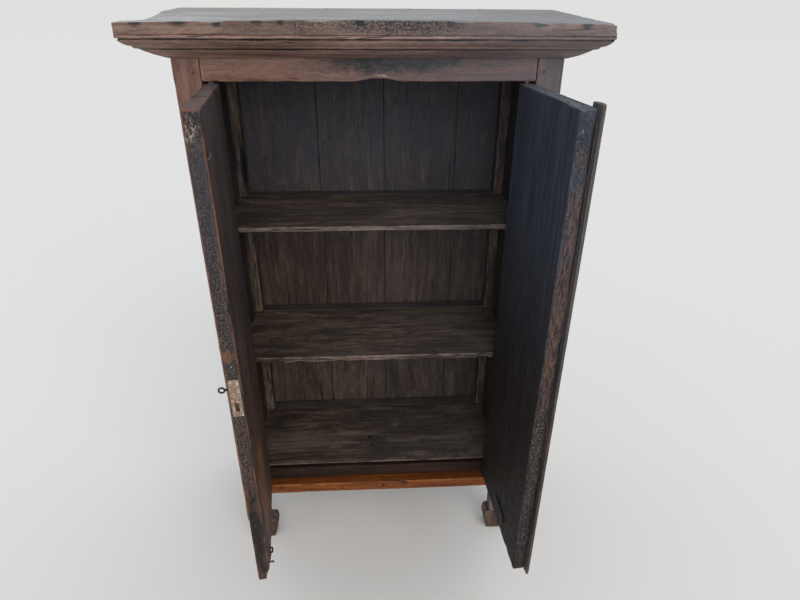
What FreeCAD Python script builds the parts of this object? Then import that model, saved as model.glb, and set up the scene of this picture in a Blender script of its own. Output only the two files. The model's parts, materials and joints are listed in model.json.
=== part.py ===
"""Trastero: a plank cupboard with a moulded cornice and two leaves hung on wooden pintles.

Lengths are millimetres and angles are degrees. While it is built, the cabinet faces -Y with the
front of its frame in the plane y = 0, x = 0 runs up its middle and z = 0 is the floor. The finished
cupboard is moved along y so that the origin lies under the middle of its overall box.
"""
import FreeCAD, Part
import math
import os

# Front frame and carcass
frame_width = 820.0
post_width = 58.0
post_depth = 45.0
inside_depth = 361.0
rail_thickness = 32.0
bottom_rail_bottom = 178.0
bottom_rail_top = 214.0
bottom_rail_round = 4.0
tenon_length = 30.0
tenon_thickness = 12.0
tenon_shoulder = 6.0
mortise_spare = 1.0

# Sides
side_rail_thickness = 20.0
side_bottom_rail_height = 66.0
side_top_rail_height = 74.0
side_plank_thickness = 14.0
side_plank_groove = 8.0
side_plank_drop = 8.0
plank_gap = 1.0

# Back
back_thickness = 14.0
back_gap = 2.0
back_lap = 10.0
back_lap_clearance = 0.4
back_joints = (-150.0, 36.0, 241.0)
rear_rail_height = 34.0

# Feet: the inward flare differs from foot to foot
foot_height = 68.0
foot_belly_height = 45.0
foot_toe = 4.0
foot_toe_share = 0.15
foot_out_inset = 6.0
left_foot_flare = 35.0
right_foot_flare = 15.0
foot_sole_taper = 12.0
foot_tenon = 22.0
foot_tenon_height = 40.0

# Floor and shelves
floor_top = 256.0
floor_thickness = 18.0
stop_front = 27.0
stop_thickness = 18.0
upper_shelf_top = 1021.0
upper_shelf_thickness = 14.0
middle_shelf_top = 642.0
middle_shelf_thickness = 17.0
shelf_setback = 1.0
shelf_back_gap = 0.5
rear_strip_left_width = 24.0
rear_strip_right_width = 136.0
shelf_joint_gap = 1.5
shelf_rail_step = 2.0
cleat_height = 24.0
cleat_width = 24.0

# Top and cornice: the top rises towards the back
soffit_height = 1450.0
frieze_height = 92.0
top_thickness = 21.0
top_rise = 24.0
cornice_overhang = 73.0
top_joints = (88.0, 236.0)
top_gap = 1.0
cornice_fillet = 3.0
cornice_groove = 3.0
cornice_ovolo_height = 14.0
cornice_ovolo_reach = 13.0
cornice_bead_height = 5.0
cornice_bead_reach = 7.0
cornice_cove_height = 12.0
cornice_cove_reach = 27.0
cornice_foot_fillet = 4.0
cornice_step = 4.0
cornice_cove_sink = 3.0

# Leaves
leaf_thickness = 31.0
leaf_proud = 6.0
leaf_gap = 8.0
leaf_top_gap = 4.0
heel_clearance = 1.5
meeting_gap = 2.5
hinge_board_width = 200.0
leaf_joint_gap = 0.6
left_rest_angle = 82.3
right_rest_angle = 93.2

# Pintles and the dowels inside a leaf
pintle_radius = 6.0
pintle_clearance = 0.08
pintle_in_leaf = 45.0
pintle_reach = 22.0
pintle_end_clearance = 1.0
collar_radius = 9.0
seat_gap = 0.3
dowel_radius = 5.0
dowel_length = 90.0
dowel_count = 4
dowel_margin = 140.0

# Sunk beads on the outside of a leaf
bead_margin = 58.0
bead_middle = 44.0
bead_width = 5.0
bead_depth = 3.0

# Astragal on the right leaf
astragal_width = 40.0
astragal_overlap = 12.0
astragal_thickness = 12.0
astragal_nose = 4.0
astragal_clearance = 0.8
astragal_over_top = 7.0
astragal_under_bottom = 9.0

# Lock in the left leaf
lock_centre_height = 786.0
lock_case_height = 84.0
lock_case_depth = 56.0
lock_case_thickness = 16.0
lock_plate_height = 92.0
lock_plate_width = 22.0
lock_plate_thickness = 2.5
bolt_height = 22.0
bolt_thickness = 8.0
bolt_length = 42.0
bolt_drop = 22.0
bolt_throw = 12.0
lock_clearance = 0.5
wheel_radius = 12.0
key_setback = 30.0
key_rise = 3.0
key_radius = 3.0
key_clearance = 0.08
key_shank_out = 9.0
key_bow_radius = 6.0
key_bow_wire = 2.0
key_bit_length = 9.0
key_bit_height = 6.0
key_bit_thickness = 3.0

# Iron staple, bent nail and wooden cleat on the insides of the leaves
staple_height = 262.0
staple_setback = 52.0
staple_wire = 1.8
staple_reach = 7.0
staple_span = 16.0
staple_sink = 18.0
hook_nail_setback = 13.0
hook_nail_height = 268.0
hook_nail_drop = 8.0
bent_nail_reach = 10.0
bent_nail_lean = 5.0
bent_nail_drop = 82.0
bent_nail_setback = 9.0
door_cleat_length = 80.0
door_cleat_depth = 7.0
door_cleat_height = 30.0
door_cleat_bottom = 259.0

# Pegs and nails
peg_radius = 4.0
peg_depth = 30.0
peg_inset = 15.0
nail_radius = 1.5
nail_length = 30.0
nail_head_radius = 3.6
nail_head_thickness = 1.0
nail_edge = 26.0
top_nail_shares = (-0.8, -0.3, 0.3, 0.8)
rail_nail_places = ((-293.0, 204.0), (-109.5, 196.0), (15.6, 200.0))

# A cutter runs this far past what it cuts
overrun = 5.0

# Places worked out from the sizes
half_width = frame_width / 2
top_rail_bottom = soffit_height - frieze_height
post_inside = half_width - post_width
back_face = inside_depth + back_thickness
rear_post_front = inside_depth - post_depth
side_plank_outside = half_width - side_rail_thickness
side_inside = side_plank_outside - side_plank_thickness
leaf_bottom = bottom_rail_top + leaf_gap
leaf_top = top_rail_bottom - leaf_top_gap
pintle_x = post_inside - heel_clearance - leaf_thickness / 2
pintle_y = leaf_thickness / 2 - leaf_proud
leaf_inner_y = leaf_thickness - leaf_proud
leaf_free_x = meeting_gap / 2
leaf_joint_x = pintle_x + leaf_thickness / 2 - hinge_board_width
leaf_half_joint = leaf_joint_gap / 2
top_bottom_rear = soffit_height + top_rise

UP = FreeCAD.Vector(0, 0, 1)


def box(x_low, x_high, y_low, y_high, z_low, z_high):
    """A box between two corners."""
    corner = FreeCAD.Vector(x_low, y_low, z_low)
    return Part.makeBox(x_high - x_low, y_high - y_low, z_high - z_low, corner)


def rod(radius, start, end):
    """A round rod from one point to another."""
    start = FreeCAD.Vector(*start)
    run = FreeCAD.Vector(*end) - start
    return Part.makeCylinder(radius, run.Length, start, run)


def prism(points, along):
    """A flat outline swept along a straight run."""
    corners = [FreeCAD.Vector(*point) for point in points]
    face = Part.Face(Part.makePolygon(corners + corners[:1]))
    return face.extrude(FreeCAD.Vector(*along))


def mirrored(shape):
    """The same piece on the other side of the cabinet."""
    return shape.mirror(FreeCAD.Vector(0, 0, 0), FreeCAD.Vector(1, 0, 0))


def both_sides(shape):
    """A piece and its mirror image as one group of separate solids."""
    return Part.makeCompound([shape, mirrored(shape)])


def soffit(y):
    """The height of the top boards' underside at a depth."""
    return soffit_height + top_rise * (y + cornice_overhang) / (back_face + cornice_overhang)


def under_top(shape):
    """A piece cut off where it meets the underside of the top boards."""
    reach = half_width + cornice_overhang + overrun
    front = -cornice_overhang - overrun
    rear = back_face + overrun
    above = soffit_height + top_rise + cornice_overhang
    outline = [(-reach, front, soffit(front)), (-reach, rear, soffit(rear)),
               (-reach, rear, above), (-reach, front, above)]
    return shape.cut(prism(outline, (2 * reach, 0, 0)))


def bounding_block(shape):
    """The upright block that just holds a shape."""
    bounds = shape.BoundBox
    return box(bounds.XMin, bounds.XMax, bounds.YMin, bounds.YMax, bounds.ZMin, bounds.ZMax)


def drill(parts, names, cutter):
    """Cut a hole for a peg, nail or dowel through the pieces it joins."""
    for name in names:
        parts[name] = parts[name].cut(cutter)


def front_post():
    """The right front post, grooved for the side planks and mortised for the rails."""
    post = box(post_inside, half_width, 0, post_depth, foot_height, top_bottom_rear)
    post = under_top(post)
    groove = box(side_inside, side_plank_outside, post_depth - side_plank_groove, post_depth + overrun,
                 bottom_rail_bottom + side_plank_drop, top_bottom_rear + overrun)
    post = post.cut(groove)
    for low, high in (rail_tenon_span(bottom_rail_bottom, bottom_rail_top), top_tenon_span()):
        post = post.cut(tenon_box(post_inside, low, high, mortise_spare))
    for low, high in side_tenon_spans():
        post = post.cut(side_tenon_box(post_depth, low, high, -tenon_length - mortise_spare))
    return post.cut(foot_tenon_box(post_depth / 2, mortise_spare))


def rear_post():
    """The right rear post, grooved and mortised as the front one."""
    post = box(post_inside, half_width, rear_post_front, inside_depth, foot_height, top_bottom_rear)
    post = under_top(post)
    groove = box(side_inside, side_plank_outside,
                 rear_post_front - overrun, rear_post_front + side_plank_groove,
                 bottom_rail_bottom + side_plank_drop, top_bottom_rear + overrun)
    post = post.cut(groove)
    for low, high in rear_rail_spans().values():
        post = post.cut(rear_tenon_box(low, high, mortise_spare))
    for low, high in side_tenon_spans():
        post = post.cut(side_tenon_box(rear_post_front, low, high, tenon_length + mortise_spare))
    return post.cut(foot_tenon_box(inside_depth - post_depth / 2, mortise_spare))


def rail_tenon_span(low, high):
    """The lowest and highest points of a tenon on a rail of this height."""
    return low + tenon_shoulder, high - tenon_shoulder


def top_tenon_span():
    """The tenon of the top rail, which stays below the sloping top."""
    return rail_tenon_span(top_rail_bottom, soffit_height)


def side_tenon_spans():
    """The tenons at the ends of the side rails."""
    low = rail_tenon_span(bottom_rail_bottom, bottom_rail_bottom + side_bottom_rail_height)
    high = rail_tenon_span(soffit_height - side_top_rail_height, soffit_height)
    return low, high


def tenon_box(shoulder_x, low, high, spare=0.0):
    """A tenon that runs outwards along x into a front post."""
    front = (rail_thickness - tenon_thickness) / 2
    return box(shoulder_x, shoulder_x + tenon_length + spare, front, front + tenon_thickness, low, high)


def side_tenon_box(shoulder_y, low, high, run):
    """A tenon of a side rail that runs along y into a post."""
    inner = side_plank_outside + (side_rail_thickness - tenon_thickness) / 2
    ends = sorted((shoulder_y, shoulder_y + run))
    return box(inner, inner + tenon_thickness, ends[0], ends[1], low, high)


def rear_tenon_box(low, high, spare=0.0):
    """A tenon of a rear rail that runs into a rear post, short of the side planks."""
    reach = side_inside - post_inside - mortise_spare
    front = rear_post_front + (post_depth - tenon_thickness) / 2
    return box(post_inside, post_inside + reach + spare / 2, front, front + tenon_thickness, low, high)


def foot_tenon_box(y_centre, spare=0.0):
    """The square tongue of a foot that stands up into its post."""
    x_centre = half_width - post_width / 2
    half = foot_tenon / 2
    return box(x_centre - half, x_centre + half, y_centre - half, y_centre + half,
               foot_height - spare, foot_height + foot_tenon_height + spare)


def foot(y_centre, flare, toe):
    """A block foot with a ledge inside the post, a tapered flat sole and a tongue on top."""
    half = post_depth / 2
    belly = foot_belly_height
    outline = [
        (post_inside - flare, 0, foot_height),
        (post_inside - flare, 0, belly),
        (post_inside - flare + foot_sole_taper, 0, 0),
        (half_width - foot_out_inset, 0, 0),
        (half_width - foot_out_inset, 0, foot_height),
    ]
    front_view = prism(outline, (0, inside_depth + 2 * post_depth, 0))
    front_view.translate(FreeCAD.Vector(0, -post_depth, 0))
    reach = post_inside - flare - overrun
    profile = [
        (reach, y_centre - half, foot_height),
        (reach, y_centre - half - toe * foot_toe_share, belly),
        (reach, y_centre - half - toe, 0),
        (reach, y_centre + half, 0),
        (reach, y_centre + half, foot_height),
    ]
    side_view = prism(profile, (frame_width, 0, 0))
    block = front_view.common(side_view)
    return block.fuse(foot_tenon_box(y_centre)).removeSplitter()


def feet():
    """Four feet, each under its own post."""
    front = post_depth / 2
    rear = inside_depth - post_depth / 2
    return {
        "front_foot_left": mirrored(foot(front, left_foot_flare, foot_toe)),
        "front_foot_right": foot(front, right_foot_flare, foot_toe),
        "rear_foot_left": mirrored(foot(rear, right_foot_flare, 0)),
        "rear_foot_right": foot(rear, right_foot_flare, 0),
    }


def top_rail():
    """The frieze rail between the front posts, bored for the upper pintles."""
    rail = under_top(box(-post_inside, post_inside, 0, rail_thickness, top_rail_bottom, top_bottom_rear))
    low, high = top_tenon_span()
    tenon = tenon_box(post_inside, low, high)
    rail = rail.fuse([tenon, mirrored(tenon)])
    depth = pintle_reach + pintle_end_clearance
    bore = rod(pintle_radius + pintle_clearance, (pintle_x, pintle_y, top_rail_bottom - overrun),
               (pintle_x, pintle_y, top_rail_bottom + depth))
    return rail.cut(both_sides(bore)).removeSplitter()


def bottom_rail():
    """The pale lower rail, whose top is the sill that the leaves turn on."""
    rail = box(-post_inside, post_inside, 0, post_depth, bottom_rail_bottom, bottom_rail_top)
    arris = FreeCAD.Vector(0, 0, bottom_rail_top)
    edge = min(rail.Edges, key=lambda one: one.CenterOfMass.distanceToPoint(arris))
    rail = rail.makeFillet(bottom_rail_round, [edge])
    low, high = rail_tenon_span(bottom_rail_bottom, bottom_rail_top)
    tenon = tenon_box(post_inside, low, high)
    rail = rail.fuse([tenon, mirrored(tenon)])
    depth = pintle_reach + pintle_end_clearance
    bore = rod(pintle_radius + pintle_clearance, (pintle_x, pintle_y, bottom_rail_top - depth),
               (pintle_x, pintle_y, bottom_rail_top + overrun))
    return rail.cut(both_sides(bore)).removeSplitter()


def sill_stop():
    """The strip on the bottom rail that the closed leaves shut against."""
    rear = stop_front + stop_thickness
    return box(-post_inside, post_inside, stop_front, rear, bottom_rail_top, floor_top)


def side_rail(low, high):
    """A right side rail between the posts, with a tenon at each end."""
    rail = box(side_plank_outside, half_width, post_depth, rear_post_front, low, high)
    tenon_low, tenon_high = rail_tenon_span(low, min(high, soffit_height))
    front = side_tenon_box(post_depth, tenon_low, tenon_high, -tenon_length)
    rear = side_tenon_box(rear_post_front, tenon_low, tenon_high, tenon_length)
    return under_top(rail).fuse([front, rear]).removeSplitter()


def side_planks():
    """The two right side planks that stand in the grooves of the posts."""
    low = bottom_rail_bottom + side_plank_drop
    front = post_depth - side_plank_groove
    rear = rear_post_front + side_plank_groove
    middle = (front + rear) / 2
    spans = ((front, middle - plank_gap / 2), (middle + plank_gap / 2, rear))
    return [under_top(box(side_inside, side_plank_outside, y_low, y_high, low, top_bottom_rear))
            for y_low, y_high in spans]


def floor_board():
    """The floor of the lowest compartment."""
    return box(-side_inside, side_inside, post_depth, rear_post_front - shelf_back_gap,
               floor_top - floor_thickness, floor_top)


def shelf_front():
    """The depth at which the shelves start, just behind the front posts."""
    return post_depth + shelf_setback


def middle_shelf():
    """The middle shelf, one wide board."""
    return box(-side_inside, side_inside, shelf_front(), rear_post_front - shelf_back_gap,
               middle_shelf_top - middle_shelf_thickness, middle_shelf_top)


def upper_shelf():
    """The upper shelf: two boards that meet along a slanting joint."""
    low = upper_shelf_top - upper_shelf_thickness
    rear = rear_post_front - shelf_back_gap
    joint_left = rear_post_front - rear_strip_left_width
    joint_right = rear_post_front - rear_strip_right_width
    front_board = prism([
        (-side_inside, shelf_front(), low), (side_inside, shelf_front(), low),
        (side_inside, joint_right, low), (-side_inside, joint_left, low),
    ], (0, 0, upper_shelf_thickness))
    rear_board = prism([
        (-side_inside, joint_left + shelf_joint_gap, low), (side_inside, joint_right + shelf_joint_gap, low),
        (side_inside, rear, low), (-side_inside, rear, low),
    ], (0, 0, upper_shelf_thickness - shelf_rail_step))
    return front_board, rear_board


def cleats(top):
    """A pair of cleats nailed to the side planks under a shelf."""
    rear = rear_post_front - shelf_back_gap
    inner = side_inside - cleat_width
    return both_sides(box(inner, side_inside, shelf_front(), rear, top - cleat_height, top))


def rear_rail_spans():
    """The lowest and highest points of each rear rail between the rear posts."""
    tops = {
        "lower_rear_rail": floor_top,
        "middle_rear_rail": middle_shelf_top + shelf_rail_step,
        "upper_rear_rail": upper_shelf_top - shelf_rail_step,
        "top_rear_rail": soffit_height,
    }
    return {name: (top - rear_rail_height, top) for name, top in tops.items()}


def rear_rails():
    """The four rails between the rear posts, which the back boards are nailed to."""
    rails = {}
    for name, (low, high) in rear_rail_spans().items():
        rail = box(-post_inside, post_inside, rear_post_front, inside_depth, low, high)
        tenon = rear_tenon_box(low, high)
        rails[name] = rail.fuse([tenon, mirrored(tenon)]).removeSplitter()
    return rails


def back_edges():
    """The places of the back boards' edges from left to right."""
    return (-half_width,) + back_joints + (half_width,)


def back_boards():
    """The upright boards nailed on the back; the rear half of each laps behind the next."""
    edges = back_edges()
    low = bottom_rail_bottom + side_plank_drop
    high = top_bottom_rear + overrun
    middle = (inside_depth + back_face) / 2
    boards = []
    for left, right in zip(edges, edges[1:]):
        start = left + back_gap / 2
        end = right - back_gap / 2
        board = box(start, end, inside_depth, back_face, low, high)
        if left != edges[0]:
            rebate_front = middle - back_lap_clearance / 2
            rebate = box(start - overrun, start + back_lap, rebate_front, back_face + overrun,
                         low - overrun, high + overrun)
            board = board.cut(rebate)
        if right != edges[-1]:
            tongue_front = middle + back_lap_clearance / 2
            tongue = box(end - overrun, end + back_lap, tongue_front, back_face, low, high)
            board = board.fuse(tongue)
        boards.append(under_top(board.removeSplitter()))
    return boards


def top_edges():
    """The depths of the top boards' edges from front to back."""
    return (-cornice_overhang,) + top_joints + (back_face,)


def top_boards():
    """The boards of the top, which rise towards the back."""
    reach = half_width + cornice_overhang
    edges = top_edges()
    boards = []
    for near, far in zip(edges, edges[1:]):
        near = near if near == edges[0] else near + top_gap / 2
        far = far if far == edges[-1] else far - top_gap / 2
        outline = [(-reach, near, soffit(near)), (-reach, far, soffit(far)),
                   (-reach, far, soffit(far) + top_thickness), (-reach, near, soffit(near) + top_thickness)]
        boards.append(prism(outline, (2 * reach, 0, 0)))
    return boards


def cornice_section():
    """The cornice's section as a closed wire of (reach out, height) steps from the top down."""
    def point(out, height):
        return FreeCAD.Vector(0, -out, height)

    def bulge(start, end, sag):
        chord = end - start
        middle = (start + end) * 0.5
        normal = FreeCAD.Vector(0, chord.z, -chord.y).normalize()
        return Part.Arc(start, middle + normal * sag, end).toShape()

    out = cornice_overhang - cornice_fillet
    height = soffit_height
    lip_end = point(out - cornice_fillet, height - cornice_fillet - cornice_groove)
    ovolo_start = point(out - cornice_fillet, lip_end.z - cornice_groove)
    ovolo_end = point(-ovolo_start.y - cornice_ovolo_reach, ovolo_start.z - cornice_ovolo_height)
    bead_start = point(-ovolo_end.y - cornice_step, ovolo_end.z - cornice_step)
    bead_end = point(-bead_start.y - cornice_bead_reach / 2, bead_start.z - cornice_bead_height)
    cove_start = point(-bead_end.y - cornice_step, bead_end.z)
    cove_end = point(-cove_start.y - cornice_cove_reach, cove_start.z - cornice_cove_height)
    corners = [point(0, soffit_height + top_rise), point(out, soffit_height + top_rise),
               point(out, height - cornice_fillet), lip_end,
               point(-lip_end.y - cornice_groove, lip_end.z),
               point(-lip_end.y - cornice_groove, ovolo_start.z), ovolo_start]
    edges = [Part.makeLine(a, b) for a, b in zip(corners, corners[1:])]
    edges.append(bulge(ovolo_start, ovolo_end, -cornice_cove_sink))
    edges.append(Part.makeLine(ovolo_end, point(-bead_start.y, ovolo_end.z)))
    edges.append(Part.makeLine(point(-bead_start.y, ovolo_end.z), bead_start))
    edges.append(bulge(bead_start, bead_end, -cornice_groove / 2))
    edges.append(Part.makeLine(bead_end, cove_start))
    edges.append(bulge(cove_start, cove_end, cornice_cove_sink))
    toe = point(-cove_end.y, cove_end.z - cornice_foot_fillet)
    wall = point(0, toe.z)
    edges.append(Part.makeLine(cove_end, toe))
    edges.append(Part.makeLine(toe, wall))
    edges.append(Part.makeLine(wall, corners[0]))
    return Part.Wire(Part.sortEdges(edges)[0])


def cornice():
    """The front and side mouldings, mitred at the corners."""
    reach = half_width + cornice_overhang
    front = Part.Face(cornice_section()).extrude(FreeCAD.Vector(2 * reach, 0, 0))
    front.translate(FreeCAD.Vector(-reach, 0, 0))
    side = Part.Face(cornice_section()).extrude(FreeCAD.Vector(reach + back_face, 0, 0))
    side.rotate(FreeCAD.Vector(0, 0, 0), UP, 90)
    side.translate(FreeCAD.Vector(half_width, -cornice_overhang, 0))
    side = side.common(box(0, 2 * reach, -reach, back_face, 0, 2 * soffit_height))
    low = soffit_height - cornice_overhang
    corner = [(half_width, 0, low), (half_width + reach, -reach, low), (half_width + reach, -2 * reach, low),
              (0, -2 * reach, low), (0, 0, low)]
    mitre = prism(corner, (0, 0, 2 * cornice_overhang))
    front = front.common(mitre.fuse(mirrored(mitre)))
    side = side.cut(mitre)
    return under_top(front), under_top(side)


def leaf_blank(x_low, x_high, heel):
    """A leaf board between two places across the closed right leaf, with a round heel if it hangs."""
    board = box(x_low, x_high, -leaf_proud, leaf_inner_y, leaf_bottom, leaf_top)
    if heel:
        axis = [(pintle_x, pintle_y, height) for height in (leaf_bottom, leaf_top)]
        round_heel = rod(leaf_thickness / 2, *axis)
        board = board.fuse(round_heel).removeSplitter()
    return board


def leaf_beads():
    """The sunk beads that frame two fields on the outside of a leaf."""
    x_low = leaf_free_x + bead_margin
    x_high = pintle_x + leaf_thickness / 2 - bead_margin
    middle = (leaf_bottom + leaf_top) / 2
    beads = []
    spans = ((leaf_bottom + bead_margin, middle - bead_middle),
             (middle + bead_middle, leaf_top - bead_margin))
    for low, high in spans:
        outer = box(x_low, x_high, -leaf_proud - overrun, -leaf_proud + bead_depth, low, high)
        inner = box(x_low + bead_width, x_high - bead_width, -leaf_proud - 2 * overrun, leaf_inner_y,
                    low + bead_width, high - bead_width)
        beads.append(outer.cut(inner))
    return Part.makeCompound(beads)


def pintle_rods():
    """The upper and lower pintles of the right leaf; the lower one has the collar that carries it."""
    upper = rod(pintle_radius, (pintle_x, pintle_y, leaf_top - pintle_in_leaf),
                (pintle_x, pintle_y, top_rail_bottom + pintle_reach))
    lower = rod(pintle_radius, (pintle_x, pintle_y, bottom_rail_top - pintle_reach),
                (pintle_x, pintle_y, leaf_bottom + pintle_in_leaf))
    seat = bottom_rail_top + seat_gap
    collar = rod(collar_radius, (pintle_x, pintle_y, seat), (pintle_x, pintle_y, leaf_bottom))
    return upper, lower.fuse(collar).removeSplitter()


def leaf_dowels():
    """The dowels that hold the two boards of a leaf edge to edge."""
    step = (leaf_top - leaf_bottom - 2 * dowel_margin) / (dowel_count - 1)
    heights = [leaf_bottom + dowel_margin + step * count for count in range(dowel_count)]
    half = dowel_length / 2
    return Part.makeCompound([rod(dowel_radius, (leaf_joint_x - half, pintle_y, height),
                                  (leaf_joint_x + half, pintle_y, height)) for height in heights])


def leaf_boards():
    """The hinge board and the free board of the right leaf, without any lock or hardware."""
    hinge_board = leaf_blank(leaf_joint_x + leaf_half_joint, pintle_x, heel=True)
    free_board = leaf_blank(leaf_free_x, leaf_joint_x - leaf_half_joint, heel=False)
    beads = leaf_beads()
    dowels = leaf_dowels()
    pintles = Part.makeCompound(list(pintle_rods()))
    return hinge_board.cut(beads).cut(dowels).cut(pintles), free_board.cut(beads).cut(dowels)


def astragal():
    """The rounded strip on the outside of the right leaf's free edge, relieved over the left leaf."""
    low = leaf_bottom - astragal_under_bottom
    height = leaf_top + astragal_over_top - low
    left = leaf_free_x - astragal_overlap
    right = left + astragal_width
    seat = -leaf_proud
    face = seat - astragal_thickness
    brow = face + astragal_nose
    corners = [FreeCAD.Vector(x, y, low) for x, y in (
        (left, brow), (left, seat - astragal_clearance), (leaf_free_x, seat - astragal_clearance),
        (leaf_free_x, seat), (right, seat), (right, brow))]
    crown = FreeCAD.Vector((left + right) / 2, face, low)
    section = [Part.makeLine(start, end) for start, end in zip(corners, corners[1:])]
    section.append(Part.Arc(corners[-1], crown, corners[0]).toShape())
    return Part.Face(Part.Wire(section)).extrude(FreeCAD.Vector(0, 0, height))


def bolt_box(spare, shift=0.0):
    """The lock bolt's space in the closed left leaf; its head is flush with the lock plate."""
    head = -leaf_free_x + shift
    middle = lock_centre_height - bolt_drop
    half_thick = bolt_thickness / 2 + spare
    half_high = bolt_height / 2 + spare
    return box(head - bolt_length - spare, head, pintle_y - half_thick, pintle_y + half_thick,
               middle - half_high, middle + half_high)


def key_axis_point(depth):
    """A point on the key's axis at this depth in the closed left leaf."""
    return (-leaf_free_x - key_setback, depth, lock_centre_height + key_rise)


def lock():
    """The case, plate and bolt of the lock in the closed left leaf."""
    edge = -leaf_free_x
    half_thick = lock_case_thickness / 2
    half_high = lock_case_height / 2
    case = box(edge - lock_plate_thickness - lock_case_depth, edge - lock_plate_thickness,
               pintle_y - half_thick, pintle_y + half_thick,
               lock_centre_height - half_high, lock_centre_height + half_high)
    ward = half_thick / 2
    wheel = rod(wheel_radius, key_axis_point(pintle_y - ward), key_axis_point(pintle_y + ward))
    hole = rod(key_radius + key_clearance, key_axis_point(-leaf_proud), key_axis_point(pintle_y))
    channel = bolt_box(lock_clearance).fuse(bolt_box(lock_clearance, lock_plate_thickness))
    plate = box(edge - lock_plate_thickness, edge,
                pintle_y - lock_plate_width / 2, pintle_y + lock_plate_width / 2,
                lock_centre_height - lock_plate_height / 2, lock_centre_height + lock_plate_height / 2)
    return case.cut(wheel).cut(hole).cut(channel), plate.cut(channel), bolt_box(0.0)


def key():
    """The key in the lock: a ring bow outside the leaf, a shank, and a bit inside the case."""
    ring_centre = -leaf_proud - key_shank_out - key_bow_radius
    ring = Part.makeTorus(key_bow_radius, key_bow_wire, FreeCAD.Vector(*key_axis_point(ring_centre)),
                          FreeCAD.Vector(1, 0, 0))
    x, y, z = key_axis_point(pintle_y)
    half = key_bit_thickness / 2
    shank = rod(key_radius, key_axis_point(ring_centre + key_bow_radius), key_axis_point(y + half))
    bit = box(x - half, x + half, y - key_bit_height / 2, y + half, z - key_bit_length, z)
    return ring.fuse([shank, bit]).removeSplitter()


def strike_mortise():
    """The slot in the right leaf's edge that the thrown bolt enters."""
    middle = lock_centre_height - bolt_drop
    half_thick = bolt_thickness / 2 + lock_clearance * 2
    half_high = bolt_height / 2 + lock_clearance * 2
    return box(leaf_free_x - overrun, leaf_free_x + bolt_throw, pintle_y - half_thick, pintle_y + half_thick,
               middle - half_high, middle + half_high)


def staple(x):
    """An iron staple driven into the inside of the closed left leaf."""
    half = staple_span / 2
    eye = leaf_inner_y + staple_reach
    root = leaf_inner_y - staple_sink
    legs = [rod(staple_wire, (x + side * half, root, staple_height), (x + side * half, eye, staple_height))
            for side in (-1, 1)]
    bridge = rod(staple_wire, (x - half, eye, staple_height), (x + half, eye, staple_height))
    knuckles = [Part.makeSphere(staple_wire, FreeCAD.Vector(x + side * half, eye, staple_height))
                for side in (-1, 1)]
    return legs[0].fuse([legs[1], bridge] + knuckles).removeSplitter()


def bent_nail(x, height, rise):
    """A nail that stands out of the left leaf's inside and is bent up or down."""
    root = (x, leaf_inner_y - staple_sink, height)
    elbow = (x, leaf_inner_y + bent_nail_reach, height)
    tip = (x - bent_nail_lean, leaf_inner_y + bent_nail_reach, height + rise)
    knuckle = Part.makeSphere(nail_radius, FreeCAD.Vector(*elbow))
    return rod(nail_radius, root, elbow).fuse([rod(nail_radius, elbow, tip), knuckle]).removeSplitter()


def left_leaf_irons():
    """The staple and the two bent nails on the inside of the closed left leaf."""
    return Part.makeCompound([
        staple(-leaf_free_x - staple_setback),
        bent_nail(-leaf_free_x - hook_nail_setback, hook_nail_height, -hook_nail_drop),
        bent_nail(-leaf_free_x - bent_nail_setback, leaf_top - bent_nail_drop, bent_nail_reach),
    ])


def door_cleat():
    """The short cleat nailed over the board joint low on the inside of the right leaf."""
    half = door_cleat_length / 2
    return box(leaf_joint_x - half, leaf_joint_x + half, leaf_inner_y, leaf_inner_y + door_cleat_depth,
               door_cleat_bottom, door_cleat_bottom + door_cleat_height)


def nail(point, direction, length=nail_length):
    """A round-headed nail: the head lies on the surface at this point and the shank goes in."""
    point = FreeCAD.Vector(*point)
    direction = FreeCAD.Vector(*direction)
    head = Part.makeCylinder(nail_head_radius, nail_head_thickness, point, -direction)
    shank = Part.makeCylinder(nail_radius, length, point, direction)
    return head.fuse(shank).removeSplitter()


def rail_nails():
    """The nails in the face of the bottom rail."""
    return [nail((x, 0, z), (0, 1, 0)) for x, z in rail_nail_places]


def back_nails():
    """Two nails through each back board into each rear rail."""
    nails = []
    edges = back_edges()
    for low, high in rear_rail_spans().values():
        for left, right in zip(edges, edges[1:]):
            ends = (max(left, -post_inside) + nail_edge, min(right, post_inside) - nail_edge)
            nails += [nail((x, back_face, (low + high) / 2), (0, -1, 0)) for x in ends]
    return nails


def top_nails():
    """The nails through the top boards into the rails below."""
    slope = FreeCAD.Vector(0, -top_rise, back_face + cornice_overhang).normalize()
    nails = []
    for y in (rail_thickness / 2, inside_depth - post_depth / 2):
        for share in top_nail_shares:
            point = (post_inside * share, y, soffit(y) + top_thickness / slope.z)
            nails.append(nail(point, -slope))
    return nails


def front_pegs():
    """The pegs through the front posts into the tenons of the top and bottom rails."""
    x = post_inside + peg_inset
    heights = ((bottom_rail_bottom + bottom_rail_top) / 2, top_rail_bottom + peg_inset + peg_radius)
    pegs = [rod(peg_radius, (x, 0, z), (x, peg_depth, z)) for z in heights]
    return pegs + [mirrored(peg) for peg in pegs]


def side_pegs():
    """The pegs through the posts into the tenons of the side rails."""
    heights = [low + peg_inset for low, high in side_tenon_spans()]
    pegs = [rod(peg_radius, (half_width, y, z), (side_plank_outside, y, z))
            for y in (post_depth - peg_inset, rear_post_front + peg_inset) for z in heights]
    return pegs + [mirrored(peg) for peg in pegs]


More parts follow.
